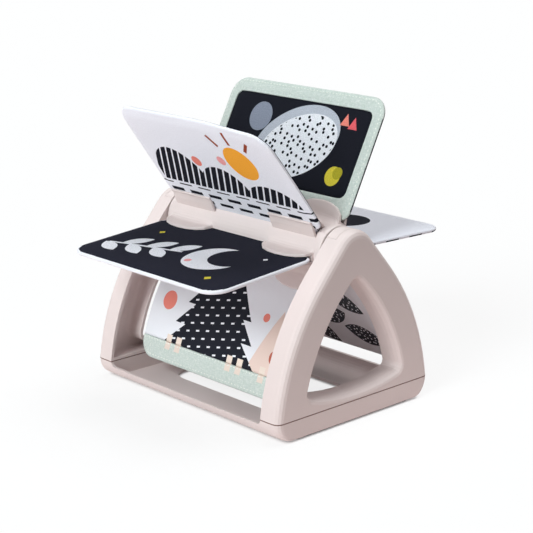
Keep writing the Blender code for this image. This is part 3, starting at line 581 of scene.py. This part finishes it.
# %% [markdown]
# ## Printed shapes
#
# The cloth carries simple printed shapes: hills, discs, leaves, trees and rows of dashes. Each is one
# row of a table, with its kind, centre, half sizes, turn and colour, and perhaps a pattern that fills
# it. The coordinate is moved into the shape's own square, where every kind is a short test. That keeps
# the edges sharp at any distance, which painted points on a mesh would not.

# %% Shape masks
LEAF_RISE = 1.5         # makes a leaf's two arcs meet in points
LEAF_SLIM = math.hypot(1, LEAF_RISE) - LEAF_RISE   # rise of the arcs over half the leaf's length
ROW_SHIFT = 0.37        # part of a pitch by which each row of dashes is moved on
DISORDER = 0.75         # how far the spots of a speckle stray from a regular grid


def inside_shape(tree, place, kind, centre, half, turn):
    """1 inside a shape and 0 outside."""
    local = add(tree, "Mapping", {"Vector": place, "Location": (*centre, 0), "Scale": (*half, 1),
                                  "Rotation": (0, 0, math.radians(turn))}, vector_type="TEXTURE").outputs[0]
    folded = add(tree, "VectorMath", {0: local}, operation="ABSOLUTE").outputs[0]
    if kind in ("disc", "leaf"):
        if kind == "leaf":
            folded = add(tree, "VectorMath", {0: folded, 1: (1, LEAF_SLIM, 0), 2: (0, LEAF_RISE, 0)},
                         operation="MULTIPLY_ADD").outputs[0]
        reach = math.hypot(1, LEAF_RISE) if kind == "leaf" else 1.0
        distance = add(tree, "VectorMath", {0: folded}, operation="LENGTH").outputs["Value"]
        return maths(tree, "LESS_THAN", distance, reach)
    parts = add(tree, "SeparateXYZ", {0: folded})
    if kind == "box":
        return maths(tree, "LESS_THAN", maths(tree, "MAXIMUM", parts.outputs[0], parts.outputs[1]), 1.0)
    if kind == "diamond":
        return maths(tree, "LESS_THAN", maths(tree, "ADD", parts.outputs[0], parts.outputs[1]), 1.0)
    height = add(tree, "SeparateXYZ", {0: local}).outputs[1]
    slope = maths(tree, "MULTIPLY_ADD", parts.outputs[0], 2.0, height)
    under_sides = maths(tree, "LESS_THAN", slope, 1.0)
    return maths(tree, "MULTIPLY", under_sides, maths(tree, "GREATER_THAN", height, -1.0))


def inside_pattern(tree, place, pattern):
    """1 where a repeated pattern prints."""
    kind, pitch, share, turn, *rows = pattern
    local = add(tree, "Mapping", {"Vector": place, "Rotation": (0, 0, math.radians(turn))}).outputs[0]
    if kind in ("stripes", "dashes"):
        parts = add(tree, "SeparateXYZ", {0: local})
        along = maths(tree, "DIVIDE", parts.outputs[0], pitch)
        if kind == "stripes":
            return maths(tree, "LESS_THAN", maths(tree, "FRACT", along), share)
        row_height, row_share = rows
        row = maths(tree, "DIVIDE", parts.outputs[1], row_height)
        along = maths(tree, "MULTIPLY_ADD", maths(tree, "FLOOR", row), ROW_SHIFT, along)
        dash = maths(tree, "LESS_THAN", maths(tree, "FRACT", along), share)
        return maths(tree, "MULTIPLY", dash, maths(tree, "LESS_THAN", maths(tree, "FRACT", row), row_share))
    disorder = 0.0 if kind == "dots" else DISORDER
    cells = add(tree, "TexVoronoi", {"Vector": local, "Scale": 1 / pitch, "Randomness": disorder},
                voronoi_dimensions="2D")
    return maths(tree, "LESS_THAN", cells.outputs["Distance"], share / 2)


def printed(tree, place, ground, shapes):
    """Lays the shapes of a print over its ground colour, one after another."""
    colour = ground
    for kind, centre, half, turn, ink, *pattern in shapes:
        mask = inside_shape(tree, place, kind, centre, half, turn)
        if pattern:
            mask = maths(tree, "MULTIPLY", mask, inside_pattern(tree, place, pattern[0]))
        colour = mix_colour(tree, mask, colour, ink)
    return colour


print("rise of a leaf's arcs over half its length:", round(LEAF_SLIM, 2))

# %% [markdown]
# ## Three kinds of cloth
#
# One function stands for each kind: it draws the threads, prints on them and sets the gloss. The print
# is dyed into the cloth, so it goes under the light and dark of the threads. Woven polyester is almost
# without gloss, the brushed melange has a little sheen, and satin shines softly along its floats.

# %% Three kinds of cloth
FUZZ = 1.1              # per mm, size of the fuzz on woven polyester
WEAVE_SHARE = 0.55      # height of the threads against the fuzz
GRAIN = (0.35, 1.1)     # lowest and highest value of threads and fuzz together
FIBRE_MIX = (0.30, 0.70)   # values of the speckle at which a fibre is all dark and all light
FLECK = 0.66            # value of the speckle above which a pale fleck shows
SPECKLE_HEIGHT = 1.6    # height of the brushed fibres against the weave
FLOATS = (0.5, 3.0, 1)  # per mm along and across a float of the satin


def woven_polyester(name, ground, shapes=(), contrast=0.16):
    """Plain weave with a dry, slightly fuzzy face."""
    material, tree = new_material(name)
    place = sheet_place(tree)
    weave = plain_weave(tree, place, WEAVE)
    fibres = add(tree, "TexNoise", {"Vector": place, "Scale": FUZZ, "Detail": 4.0}).outputs[0]
    grain = maths(tree, "MULTIPLY_ADD", weave, WEAVE_SHARE, fibres)
    colour = printed(tree, place, ground, shapes)
    shade = add(tree, "MapRange", {"Value": grain, "From Min": GRAIN[0], "From Max": GRAIN[1],
                                   "To Min": 1 - contrast, "To Max": 1 + contrast})
    colour = shaded(tree, colour, shade.outputs[0])
    finish_material(tree, colour, grain, bump_mm=0.10, Roughness=0.9, Specular_IOR_Level=0.06)
    return material


def melange_cotton(name, light, dark, fleck, shapes=()):
    """Brushed cloth spun from lighter and darker fibres."""
    material, tree = new_material(name)
    place = sheet_place(tree)
    speckle = melange(tree, place)
    share = add(tree, "MapRange", {"Value": speckle, "From Min": FIBRE_MIX[0], "From Max": FIBRE_MIX[1]})
    fibres = mix_colour(tree, share.outputs[0], dark, light)
    flecks = maths(tree, "GREATER_THAN", speckle, FLECK)
    colour = printed(tree, place, mix_colour(tree, flecks, fibres, fleck), shapes)
    weave = plain_weave(tree, place, WEAVE)
    height = maths(tree, "MULTIPLY_ADD", speckle, SPECKLE_HEIGHT, weave)
    finish_material(tree, colour, height, bump_mm=0.14, Roughness=0.92, Sheen_Weight=0.1,
                    Sheen_Roughness=0.5, Specular_IOR_Level=0.2)
    return material


def printed_satin(name, ground, shapes=()):
    """Smooth cloth with long floating threads and a soft gloss."""
    material, tree = new_material(name)
    place = sheet_place(tree)
    floats = add(tree, "VectorMath", {0: place, 1: FLOATS}, operation="MULTIPLY").outputs[0]
    threads = add(tree, "TexNoise", {"Vector": floats, "Scale": 1.0, "Detail": 2.0}).outputs[0]
    colour = printed(tree, place, ground, shapes)
    shade = add(tree, "MapRange", {"Value": threads, "To Min": 0.97, "To Max": 1.03})
    colour = shaded(tree, colour, shade.outputs[0])
    gloss = add(tree, "MapRange", {"Value": threads, "To Min": 0.42, "To Max": 0.58})
    finish_material(tree, colour, threads, bump_mm=0.04, Roughness=gloss.outputs[0],
                    Specular_IOR_Level=0.12)
    return material


print("drawn size of the fuzz, mm:", round(1 / FUZZ, 2))

# %% [markdown]
# ## The prints, page by page
#
# The colours are few: a blue black ink, white, warm orange, coral, peach, brown and mint. All motifs
# are plain shapes of the kind that any maker of baby books uses: hills with a sun, a moon with a twig,
# trees, leaves, dots, stripes and dashes. A print is a table of such shapes, laid over one another, so
# a motif is moved or recoloured by one row.

# %% Inks and grounds
INK = "#1B1C25"
DEEP_INK = "#171923"
NAVY = "#23242F"
NIGHT = "#1D1E26"
LILAC = "#F4F5FD"
WHITE = "#F2F2F8"
SATIN = "#EEEEF3"
GREY = "#8D93A3"
PALE_GREY = "#BFC3CE"
ORANGE = "#FFAF3E"
BROWN = "#9A4A35"
CORAL = "#F08B7C"
RED = "#E8646B"
RUST = "#B9614E"
PINK = "#F2A7A7"
PEACH = "#EBD2C7"
BEIGE = "#EEDDD0"
YELLOW = "#DCCB45"
OLIVE = "#B5AA33"
MINT_LIGHT = "#D9E0DA"
MINT_DARK = "#C8D3CB"
MINT_FLECK = "#E3E8E1"

# %% Patterns
# Each has its kind, pitch in mm, the share of the pitch that prints and a turn in degrees. Dashes have
# the height of a row too, and the share of it that prints.
STRIPES = ("stripes", 6.6, 0.76, 28)
DASH_ROWS = ("dashes", 23.0, 0.66, 0, 8.4, 0.42)
RIM_DASHES = ("dashes", 27.0, 0.55, 90, 12.0, 0.6)
WHITE_DASHES = ("dashes", 11.5, 0.32, 12, 6.4, 0.22)
SPECKLE = ("speckle", 6.0, 0.44, 15)
FINE_SPECKLE = ("speckle", 3.9, 0.42, 0)
DOTS = ("dots", 12.0, 0.42, 45)
FINE_STRIPES = ("stripes", 8.0, 0.25, 90)

# %% Hills with a sun, and a moon with a twig
# A row is one shape, the lowest first: kind, centre (x, r) and half sizes in mm, turn in degrees, ink,
# and for some a pattern that fills the shape.
HILLS_AND_SUN = [
    ("disc", (-50, 50), (31, 36), 0, INK, STRIPES),
    ("disc", (0, 48), (27, 26), 0, INK, STRIPES),
    ("disc", (52, 46), (29, 18), 0, INK, STRIPES),
    ("box", (0, 32), (90, 14), 0, LILAC),
    ("disc", (38, 86), (17, 17), 0, ORANGE),
    ("box", (18, 106), (6.5, 1.5), 128, BROWN),
    ("box", (38, 112), (6.5, 1.5), 92, BROWN),
    ("box", (58, 107), (6.5, 1.5), 52, BROWN),
    ("disc", (-20, 77), (5.2, 5.2), 0, CORAL),
    ("disc", (14, 84), (4.6, 4.6), 0, PINK),
    ("box", (0, 34.5), (90, 8.9), 0, INK, DASH_ROWS)]

MOON_AND_TWIG = [
    ("disc", (28, 72), (25, 25), 0, WHITE),
    ("disc", (39, 63), (19, 19), 0, NAVY),
    ("disc", (14, 86), (3, 3), 0, PINK),
    ("box", (-40, 84), (36, 1.2), -14, WHITE),
    *[("leaf", (-40 + along, 84 - 0.25 * along + side * 9), (13, 6.2), -14 + side * 40, WHITE)
      for along, side in ((-26, 1), (-15, -1), (-3, 1), (8, -1), (20, 1), (30, -1))],
    ("diamond", (58, 104), (3.4, 3.4), 0, YELLOW),
    ("diamond", (-58, 52), (3.0, 3.0), 0, YELLOW),
    ("diamond", (62, 50), (2.4, 2.4), 0, WHITE)]

# %% A cloud with stones, and trees on posts
CLOUD_AND_STONES = [
    ("disc", (-42, 93), (12.5, 12.5), 0, GREY),
    ("disc", (6, 78), (46, 29), 22, PALE_GREY),
    ("disc", (9, 74), (42, 26), 22, WHITE),
    ("disc", (9, 74), (41, 25), 22, INK, SPECKLE),
    ("triangle", (52, 102), (5, 5), 0, CORAL),
    ("triangle", (61, 100), (5, 5), 0, RED),
    ("disc", (58, 56), (8, 8), 0, YELLOW),
    ("disc", (62, 59), (5, 5), 0, OLIVE)]

TIERS = [("triangle", (-6, 47 + 18 * tier), (38 + 8 * tier, 24), 180) for tier in range(3)]
TREES = [
    ("triangle", (62, 82), (24, 27), 180, PEACH),
    *[(*tier, DEEP_INK) for tier in TIERS],
    *[(*tier, WHITE, WHITE_DASHES) for tier in TIERS],
    ("disc", (-66, 74), (8, 8), 0, CORAL),
    ("disc", (66, 92), (4.5, 5.5), 0, RUST),
    ("disc", (46, 64), (3.5, 3.5), 0, CORAL)]

POSTS = [("box", (x, 107), (3.2, 6.2), 0, BEIGE) for x in (-54, -42, 20, 32, 58)]

# %% Leaves, a round spot and whole pages of one pattern
LEAF_PLACES = ((62, 60, 30), (36, 84, -20), (66, 100, 12), (12, 108, 40), (-8, 72, -35), (-40, 56, 25),
               (-62, 88, -15), (-32, 108, 10), (22, 50, 5))
LEAVES = [piece for x, r, turn in LEAF_PLACES
          for piece in (("leaf", (x, r), (21, 10.5), turn, INK),
                        ("leaf", (x, r), (19.5, 9.3), turn, WHITE, FINE_SPECKLE),
                        ("box", (x, r), (19, 0.6), turn, INK))]

ROUND_SPOT = [("disc", (20, 76), (22, 22), 0, INK)]
ALL_OVER = ("box", (0, 74), (80, 44), 0)
PAST_THE_RIM = ("box", (0, 74), (90, 52), 0)

# %% The printed cloths
DARK_CONTRAST = 0.35    # dark cloth shows its threads more than pale cloth

navy_moon = woven_polyester("woven_polyester_navy_moon", NAVY, MOON_AND_TWIG, DARK_CONTRAST)
navy_dots = woven_polyester("woven_polyester_navy_dots", NAVY, [(*ALL_OVER, WHITE, DOTS)], DARK_CONTRAST)
navy_stripes = woven_polyester("woven_polyester_navy_stripes", NAVY,
                               [(*ALL_OVER, PALE_GREY, FINE_STRIPES)], DARK_CONTRAST)
lilac_hills = woven_polyester("woven_polyester_lilac_hills", LILAC, HILLS_AND_SUN)
lilac_spot = woven_polyester("woven_polyester_lilac_spot", LILAC, ROUND_SPOT)
lilac_dashes = woven_polyester("woven_polyester_lilac_dashes", LILAC, [(*PAST_THE_RIM, INK, RIM_DASHES)])
dark_cloud = woven_polyester("woven_polyester_dark_cloud", NIGHT, CLOUD_AND_STONES, DARK_CONTRAST)
mint_plain = melange_cotton("melange_cotton_mint", MINT_LIGHT, MINT_DARK, MINT_FLECK)
mint_posts = melange_cotton("melange_cotton_mint_posts", MINT_LIGHT, MINT_DARK, MINT_FLECK, POSTS)
satin_trees = printed_satin("printed_satin_trees", SATIN, TREES + POSTS)
satin_leaves = printed_satin("printed_satin_leaves", SATIN, LEAVES)
satin_dots = printed_satin("printed_satin_dots", WHITE, [(*ALL_OVER, CORAL, DOTS)])
satin_grey_dots = printed_satin("printed_satin_grey_dots", WHITE, [(*ALL_OVER, PALE_GREY, DOTS)])
print("cloths made")

# %% [markdown]
# ## Sewing the pages together
#
# Each page gets its two cloths. One of them is turned over the rim and ends inside it, so a line of it
# frames the other: on page 1 that is the white line along the navy print. On pages 2, 3 and 4 the two
# meet close to the middle of the rim, so the back shows as a thin line. The piece stands for the CAD
# cover and for the board that is sealed in it.

# %% Pages
# For each page: cloth of the plus side, cloth of the minus side, the side that turns over the rim, and
# how far inside the rim it ends, in mm.
CLOTHS = {
    1: (satin_grey_dots, navy_moon, 1, 1.9),
    2: (lilac_hills, navy_dots, 1, 0.2),
    3: (mint_plain, navy_stripes, -1, 0.1),
    4: (lilac_spot, lilac_dashes, 1, 0.0),
    5: (mint_plain, satin_leaves, -1, 0.5),
    6: (satin_dots, satin_trees, -1, 0.5),
}
BAND_EXTRA = 0.12       # mm that the sewn-on band stands proud


def sew_page(number, mesh):
    """Gives a page's form its two cloths and its place on the rotor."""
    two_sided(mesh, *CLOTHS[number])
    page = link_piece(f"page_{number}_cloth", mesh)
    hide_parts(f"page_{number}_cover", f"page_{number}_board")
    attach(page, "rotor")
    print(page.name, len(mesh.vertices), "points")


for number in (1, 2, 4, 5, 6):
    far_end = BAND_START if number == 6 else TIP
    sew_page(number, cloth_mesh(f"page_{number}_cloth", number, ROOT, far_end))

band_mesh = cloth_mesh("page_6_band_cloth", 6, BAND_START, TIP, BAND_EXTRA)
band_mesh.materials.append(mint_posts)
band = link_piece("page_6_band_cloth", band_mesh)
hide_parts("page_6_band")
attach(band, "rotor")

# %% [markdown]
# ## The page with a window
#
# The mint cloth of page 3 has an opening with round corners, and a dark print lies in it, a little
# deeper. A plain grid can't follow those corners, so on this side the mint cloth is a ring of loops:
# the outermost is the page's rim, the innermost is the folded edge of the opening. Each loop has the
# same number of points, so the ring is made of even quads.

# %% The window's outline
WINDOW_SIDE = 78.0      # mm, half of its width
WINDOW_LOW = 40.0       # radius of its inner edge
WINDOW_HIGH = 112.0     # radius of its outer edge
WINDOW_CORNER = 6.5
WINDOW_MIDDLE = (WINDOW_HIGH + WINDOW_LOW) / 2
NEVER_ZERO = 1e-9       # keeps a ray along an axis from dividing by nothing


def window_point(angle, grow=0.0):
    """Where a ray from the middle of the window meets its outline, grown by a distance."""
    half_x, half_r = WINDOW_SIDE + grow, (WINDOW_HIGH - WINDOW_LOW) / 2 + grow
    corner = WINDOW_CORNER + grow
    dx, dr = math.cos(angle), math.sin(angle)
    reach = min(half_x / max(abs(dx), NEVER_ZERO), half_r / max(abs(dr), NEVER_ZERO))
    x, r = abs(dx) * reach, abs(dr) * reach
    cx, cr = half_x - corner, half_r - corner
    if x > cx and r > cr:
        along = abs(dx) * cx + abs(dr) * cr
        reach = along + math.sqrt(along ** 2 - cx ** 2 - cr ** 2 + corner ** 2)
        x, r = abs(dx) * reach, abs(dr) * reach
    return math.copysign(x, dx), math.copysign(r, dr) + WINDOW_MIDDLE


print("window, mm:", 2 * WINDOW_SIDE, "by", WINDOW_HIGH - WINDOW_LOW)

# %% Page 3
RING_SHARES = (0.014, 0.035, 0.07, 0.13, 0.21, 0.31, 0.43, 0.57, 0.72, 0.87, 1.0)   # from rim to window
FOLD_LOOPS = ((0.45, 0.0), (0.13, 0.14), (0.0, 0.45), (0.0, 1.6))   # mm outside the edge, mm deep


def rim_loop():
    """The rim of a page as one loop: its inner end, right side, outer end and left side."""
    radii, shares = row_radii(ROOT, TIP), column_shares()
    low = [(share * half_width(radii[0]), radii[0]) for share in shares]
    right = [(half_width(r), r) for r in radii[1:]]
    high = [(share * half_width(radii[-1]), radii[-1]) for share in reversed(shares[:-1])]
    left = [(-half_width(r), r) for r in reversed(radii[1:-1])]
    return low + right + high + left


def skin(bm, loops):
    """Smooth faces between neighbouring loops of points; a loop may be one point only."""
    faces = []
    for near, far in zip(loops, loops[1:]):
        for index in range(max(len(near), len(far))):
            after = index + 1
            corners = dict.fromkeys((near[index % len(near)], near[after % len(near)],
                                     far[after % len(far)], far[index % len(far)]))
            face = bm.faces.new(list(corners))
            face.smooth = True
            faces.append(face)
    return faces


def framed_mesh(number):
    """The mint page: a grid behind, and in front a ring of loops round the window."""
    mesh = cloth_mesh(f"page_{number}_cloth", number, ROOT, TIP)
    bm = bmesh.new()
    bm.from_mesh(mesh)
    sheet = bm.verts.layers.float_vector["sheet"]
    plus_side = bm.faces.layers.int["plus_side"]
    bmesh.ops.delete(bm, geom=[face for face in bm.faces if face[plus_side] > 0], context="FACES")
    rim = [vertex for vertex in bm.verts if any(edge.is_boundary for edge in vertex.link_edges)]
    outline = rim_loop()
    rays = [math.atan2(r - WINDOW_MIDDLE, x) for x, r in outline]

    def on_rim(x, r):
        return min(rim, key=lambda vertex: math.hypot(vertex[sheet][0] - x, vertex[sheet][1] - r))

    def loop_at(places, depth=0.0):
        made = []
        for x, r in places:
            thick = swell(x, r) + fine_relief(number, 1, x, r) - depth
            vertex = bm.verts.new(in_space(number, x, r, bow(number, x, r) + thick))
            vertex[sheet] = (x, r, 0.0)
            made.append(vertex)
        return made

    loops = [[on_rim(x, r) for x, r in outline]]
    for share in RING_SHARES:
        places = []
        for (x, r), ray in zip(outline, rays):
            inner_x, inner_r = window_point(ray, FOLD_LOOPS[0][0])
            places.append((x + share * (inner_x - x), r + share * (inner_r - r)))
        loops.append(loop_at(places))
    for grow, depth in FOLD_LOOPS:
        loops.append(loop_at([window_point(ray, grow) for ray in rays], depth))
    for face in skin(bm, loops) + [bm.faces.new(loops[-1])]:
        face[plus_side] = 1
    return close_mesh(bm, mesh)


sew_page(3, framed_mesh(3))

# %% [markdown]
# ## The print in the window
#
# The dark print is a separate piece of thin cloth that is held stretched in the window. It could be
# painted on the page, but its edge lies a little deeper than the mint cloth and throws a fine shadow.
# So it is a sheet of its own, with a face, an edge and a back, made of loops round its middle.

# %% The dark print
PRINT_DEPTH = 0.8       # mm, from the mint cloth's face down to the print
PRINT_THICK = 0.5
PRINT_MARGIN = -0.15    # keeps the print clear of the folded edge
PRINT_RAYS = 120
PRINT_SHARES = (0.0, 0.2, 0.4, 0.6, 0.8, 0.92, 1.0)


def make_print(name, material):
    """A thin sheet in the window: loops from the middle out to its edge, and back behind."""
    mesh = bpy.data.meshes.new(name)
    bm = bmesh.new()
    sheet = bm.verts.layers.float_vector.new("sheet")
    rays = [math.tau * (step + 0.5) / PRINT_RAYS for step in range(PRINT_RAYS)]
    front = [(share, PRINT_DEPTH) for share in PRINT_SHARES]
    back = [(share, PRINT_DEPTH + PRINT_THICK) for share in PRINT_SHARES[::-1]]
    loops = []
    for share, depth in front + back:
        loop = []
        for ray in rays if share else rays[:1]:
            edge_x, edge_r = window_point(ray, PRINT_MARGIN)
            x, r = share * edge_x, WINDOW_MIDDLE + share * (edge_r - WINDOW_MIDDLE)
            vertex = bm.verts.new(in_space(3, x, r, HALF_THICK + fine_relief(3, 1, x, r) - depth))
            vertex[sheet] = (x, r, 0.0)
            loop.append(vertex)
        loops.append(loop)
    skin(bm, loops)
    close_mesh(bm, mesh)
    mesh.materials.append(material)
    piece = link_piece(name, mesh)
    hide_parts("page_3_panel")
    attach(piece, "rotor")


make_print("page_3_print", dark_cloud)

# %% [markdown]
# ## Stitches
#
# The mint cloths are topstitched close to their edges with a thread of their own colour. A stitch is
# about 2.7 mm long with a short dip to the next, so each is modelled as a small arched capsule half
# sunk in the cloth. All the stitches of one seam are one piece.

# %% Thread and stitches
STITCH_PITCH = 3.6      # mm
STITCH_LENGTH = 2.7
THREAD_RADIUS = 0.34    # with the two plies twisted round each other
THREAD_PLY = 2500.0     # per metre, so turns of the plies 0.4 mm long
STITCH_RISE = 1.2       # thread radii that a stitch rises to its middle
STITCH_SINK = 0.8       # thread radii that its ends lie below the cloth's face
END_SHARE = 0.05        # least height of the arch, so the ends don't close to a point
STITCH_STATIONS = 6
THREAD_SIDES = 6
TOPSTITCH_INSET = 2.8   # mm from the rim to the seam
SEAM_START = 36.0       # radius at which the seam of page 3 starts, where the drum lets go of it
BAND_SEAM_START = BAND_START + 1.5
BAND_SEAM = BAND_START + 1.6
BAND_SEAM_REACH = 84.0  # mm, half of the length of the seam that joins the band


def twisted_thread(name, hex_colour):
    """Polyester sewing thread of two plies, with a faint gloss."""
    material, tree = new_material(name)
    place = add(tree, "TexCoord").outputs["Object"]
    plies = add(tree, "TexNoise", {"Vector": place, "Scale": THREAD_PLY, "Detail": 1.0})
    colour = mix_colour(tree, plies.outputs[0], tint(hex_colour, 0.92), tint(hex_colour, 1.05))
    finish_material(tree, colour, plies.outputs[0], bump_mm=0.05, Roughness=0.55, Sheen_Weight=0.2)
    return material


def inset_path(inset, start):
    """Line at a distance inside a page's rim, up one side, along the far edge and down the other."""
    side, tip, corner = SIDE - inset, TIP - inset, TIP_CORNER - inset
    turns = [math.radians(turn) for turn in range(0, 91, 6)]
    right = [(side - corner + corner * math.cos(turn), tip - corner + corner * math.sin(turn))
             for turn in turns]
    left = [(-x, r) for x, r in reversed(right)]
    return [(side, start)] + right + left + [(-side, start)]


def along_path(path, distance):
    """Point and direction at a distance along a path."""
    for (x0, r0), (x1, r1) in zip(path, path[1:]):
        span = math.hypot(x1 - x0, r1 - r0)
        if distance <= span:
            share = distance / span
            return x0 + share * (x1 - x0), r0 + share * (r1 - r0), (x1 - x0) / span, (r1 - r0) / span
        distance -= span
    return x1, r1, (x1 - x0) / span, (r1 - r0) / span


print("stitches in 100 mm of seam:", round(100 / STITCH_PITCH))

# %% Sewing


def sew(name, number, lines, thread):
    """Stitches along lines (side, path, height) of one page."""
    bm = bmesh.new()
    for side, path, height in lines:
        total = sum(math.dist(first, second) for first, second in zip(path, path[1:]))
        count = int(total / STITCH_PITCH)
        for stitch in range(count):
            middle = (stitch + 0.5) * total / count
            rings = []
            for station in range(STITCH_STATIONS + 1):
                share = station / STITCH_STATIONS
                x, r, dx, dr = along_path(path, middle + (share - 0.5) * STITCH_LENGTH)
                arch = math.sin(math.pi * share)
                radius = THREAD_RADIUS * max(arch, END_SHARE) ** 0.5
                ring = []
                for step in range(THREAD_SIDES):
                    turn = math.tau * step / THREAD_SIDES
                    across, rise = radius * math.cos(turn), radius * math.sin(turn)
                    above = height + THREAD_RADIUS * (STITCH_RISE * arch - STITCH_SINK) + rise
                    place = on_cloth(number, side, x - dr * across, r + dx * across, above)
                    ring.append(bm.verts.new(place))
                rings.append(ring)
            skin(bm, rings)
            bm.faces.new(rings[0])
            bm.faces.new(rings[-1])
    mesh = close_mesh(bm, bpy.data.meshes.new(name))
    mesh.materials.append(thread)
    seam = link_piece(name, mesh)
    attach(seam, "rotor")
    print(name, len(mesh.polygons), "faces")


mint_thread = twisted_thread("twisted_thread_mint", "#F1F6EC")
edge_line = inset_path(TOPSTITCH_INSET, SEAM_START)
band_line = inset_path(TOPSTITCH_INSET, BAND_SEAM_START)
seam_line = [(-BAND_SEAM_REACH, BAND_SEAM), (BAND_SEAM_REACH, BAND_SEAM)]
band_lines = [(side, line, BAND_EXTRA) for side in (1, -1) for line in (band_line, seam_line)]
sew("page_3_topstitch", 3, [(side, edge_line, 0.0) for side in (1, -1)], mint_thread)
sew("page_6_band_topstitch", 6, band_lines, mint_thread)

# %% [markdown]
# ## Floor and light
#
# The toy stands on a white sweep in an even studio light. One large soft lamp stands high in front, a
# weaker one lies low in front of the toy, and a third hangs above and a little behind it. So the faces
# that look to the front are bright and the right side keeps about half of that, as in the photograph.
# The strengths were fitted to the shades of some twenty small places of it. The floor shows the camera
# mostly its own white and only a little of the light on it, so it stays white and still carries a soft
# shadow. That white fades in the last few millimetres before the toy, so the dark line under its edge
# shows. Reflections and clear things see the same white, and the light that the floor throws back at
# the toy is a little warm. The end of the pool of light is painted: to the right of the toy the floor's
# tone for the light it throws back is painted darker, so less comes back from there, and the right arch
# grows darker towards its head.

# %% Floor, world and lamps
FLOOR_SHADE = 0.17      # share of the floor's look that comes from the light on it
JOINT_REACH = 2.6       # mm round the toy's foot in which the floor loses its own white
POOL_END = (0.20, 0.45)   # m to the right of the toy, where the painted pool of light in the floor's tone fades away
# tones of the floor for the light it throws back: warm near the toy, and painted darker far to its right
NEAR_PAPER = "#F1E0DD"
PAINTED_DIM_PAPER = "#B4A8A6"
PAPER_GRAIN = 900.0     # per metre, so a grain of 1.1 mm
FLOOR_HALF = 3.0        # m
WORLD_LIGHT = 0.08      # strength of the soft light from all round


def background_rays(tree):
    """1 for the rays that show the white itself: the camera's, and those in metal and glass."""
    rays = add(tree, "LightPath")
    mirrored = maths(tree, "MAXIMUM", rays.outputs["Is Glossy Ray"], rays.outputs["Is Transmission Ray"])
    return maths(tree, "MAXIMUM", rays.outputs["Is Camera Ray"], mirrored)


def make_floor():
    material, tree = new_material("white_paper_sweep")
    place = add(tree, "TexCoord").outputs["Object"]
    grain = add(tree, "TexNoise", {"Vector": place, "Scale": PAPER_GRAIN, "Detail": 2.0})
    bump = add(tree, "Bump", {"Strength": 0.1, "Distance": 0.02 * MM, "Height": grain.outputs[0]})
    shown = background_rays(tree)
    right = add(tree, "SeparateXYZ", {0: place}).outputs[0]
    # painted light: to the right of the toy the floor's tone for thrown-back light is painted darker, a painted
    # end of the pool of light
    painted_dimming = add(tree, "MapRange", {"Value": right, "From Min": POOL_END[0], "From Max": POOL_END[1]})
    thrown = mix_colour(tree, painted_dimming.outputs[0], NEAR_PAPER, PAINTED_DIM_PAPER)
    tone = mix_colour(tree, shown, thrown, "#FFFFFF")
    lit = add(tree, "BsdfDiffuse", {"Color": tone, "Normal": bump.outputs[0]})
    white = add(tree, "Emission", {"Color": (1, 1, 1, 1), "Strength": 1.0})
    joint = add(tree, "AmbientOcclusion", {"Distance": JOINT_REACH * MM}, samples=16)
    share = maths(tree, "MULTIPLY", maths(tree, "MULTIPLY", shown, 1 - FLOOR_SHADE), joint.outputs["AO"])
    surface = add(tree, "MixShader", {0: share, 1: lit.outputs[0], 2: white.outputs[0]})
    add(tree, "OutputMaterial", {"Surface": surface.outputs[0]})
    mesh = bpy.data.meshes.new("floor")
    corners = [(x * FLOOR_HALF, y * FLOOR_HALF, 0) for x, y in ((-1, -1), (1, -1), (1, 1), (-1, 1))]
    mesh.from_pydata(corners, [], [(0, 1, 2, 3)])
    mesh.materials.append(material)
    floor = link_piece("floor", mesh)


def make_world(strength):
    world = bpy.data.worlds.new("studio")
    world.use_nodes = True
    tree = world.node_tree
    tree.nodes.clear()
    soft = add(tree, "Background", {"Color": (1, 1, 1, 1), "Strength": strength})
    white = add(tree, "Background", {"Color": (1, 1, 1, 1), "Strength": 1.0})
    mixed = add(tree, "MixShader", {0: background_rays(tree), 1: soft.outputs[0], 2: white.outputs[0]})
    add(tree, "OutputWorld", {"Surface": mixed.outputs[0]})
    bpy.context.scene.world = world


def make_lamp(name, towards, strength, spread, colour):
    """A far soft lamp; towards is the direction from the toy to the lamp."""
    data = bpy.data.lights.new(name, "SUN")
    data.color = linear(colour)[:3]
    data.energy = strength
    data.angle = math.radians(spread)
    lamp = bpy.data.objects.new(name, data)
    bpy.context.scene.collection.objects.link(lamp)
    lamp.rotation_euler = Vector(towards).to_track_quat("Z", "Y").to_euler()


make_floor()
make_world(WORLD_LIGHT)
make_lamp("front_lamp", (0.105, -0.8, 0.59), strength=1.85, spread=25, colour="#F3FDFF")
make_lamp("low_lamp", (0.11, -0.98, 0.08), strength=1.06, spread=30, colour="#F3FDFF")
make_lamp("top_lamp", (0.05, 0.3, 0.95), strength=1.78, spread=40, colour="#FDFEFF")
bpy.context.scene.view_settings.view_transform = "Standard"
print("lamps:", [lamp.name for lamp in bpy.data.lights])
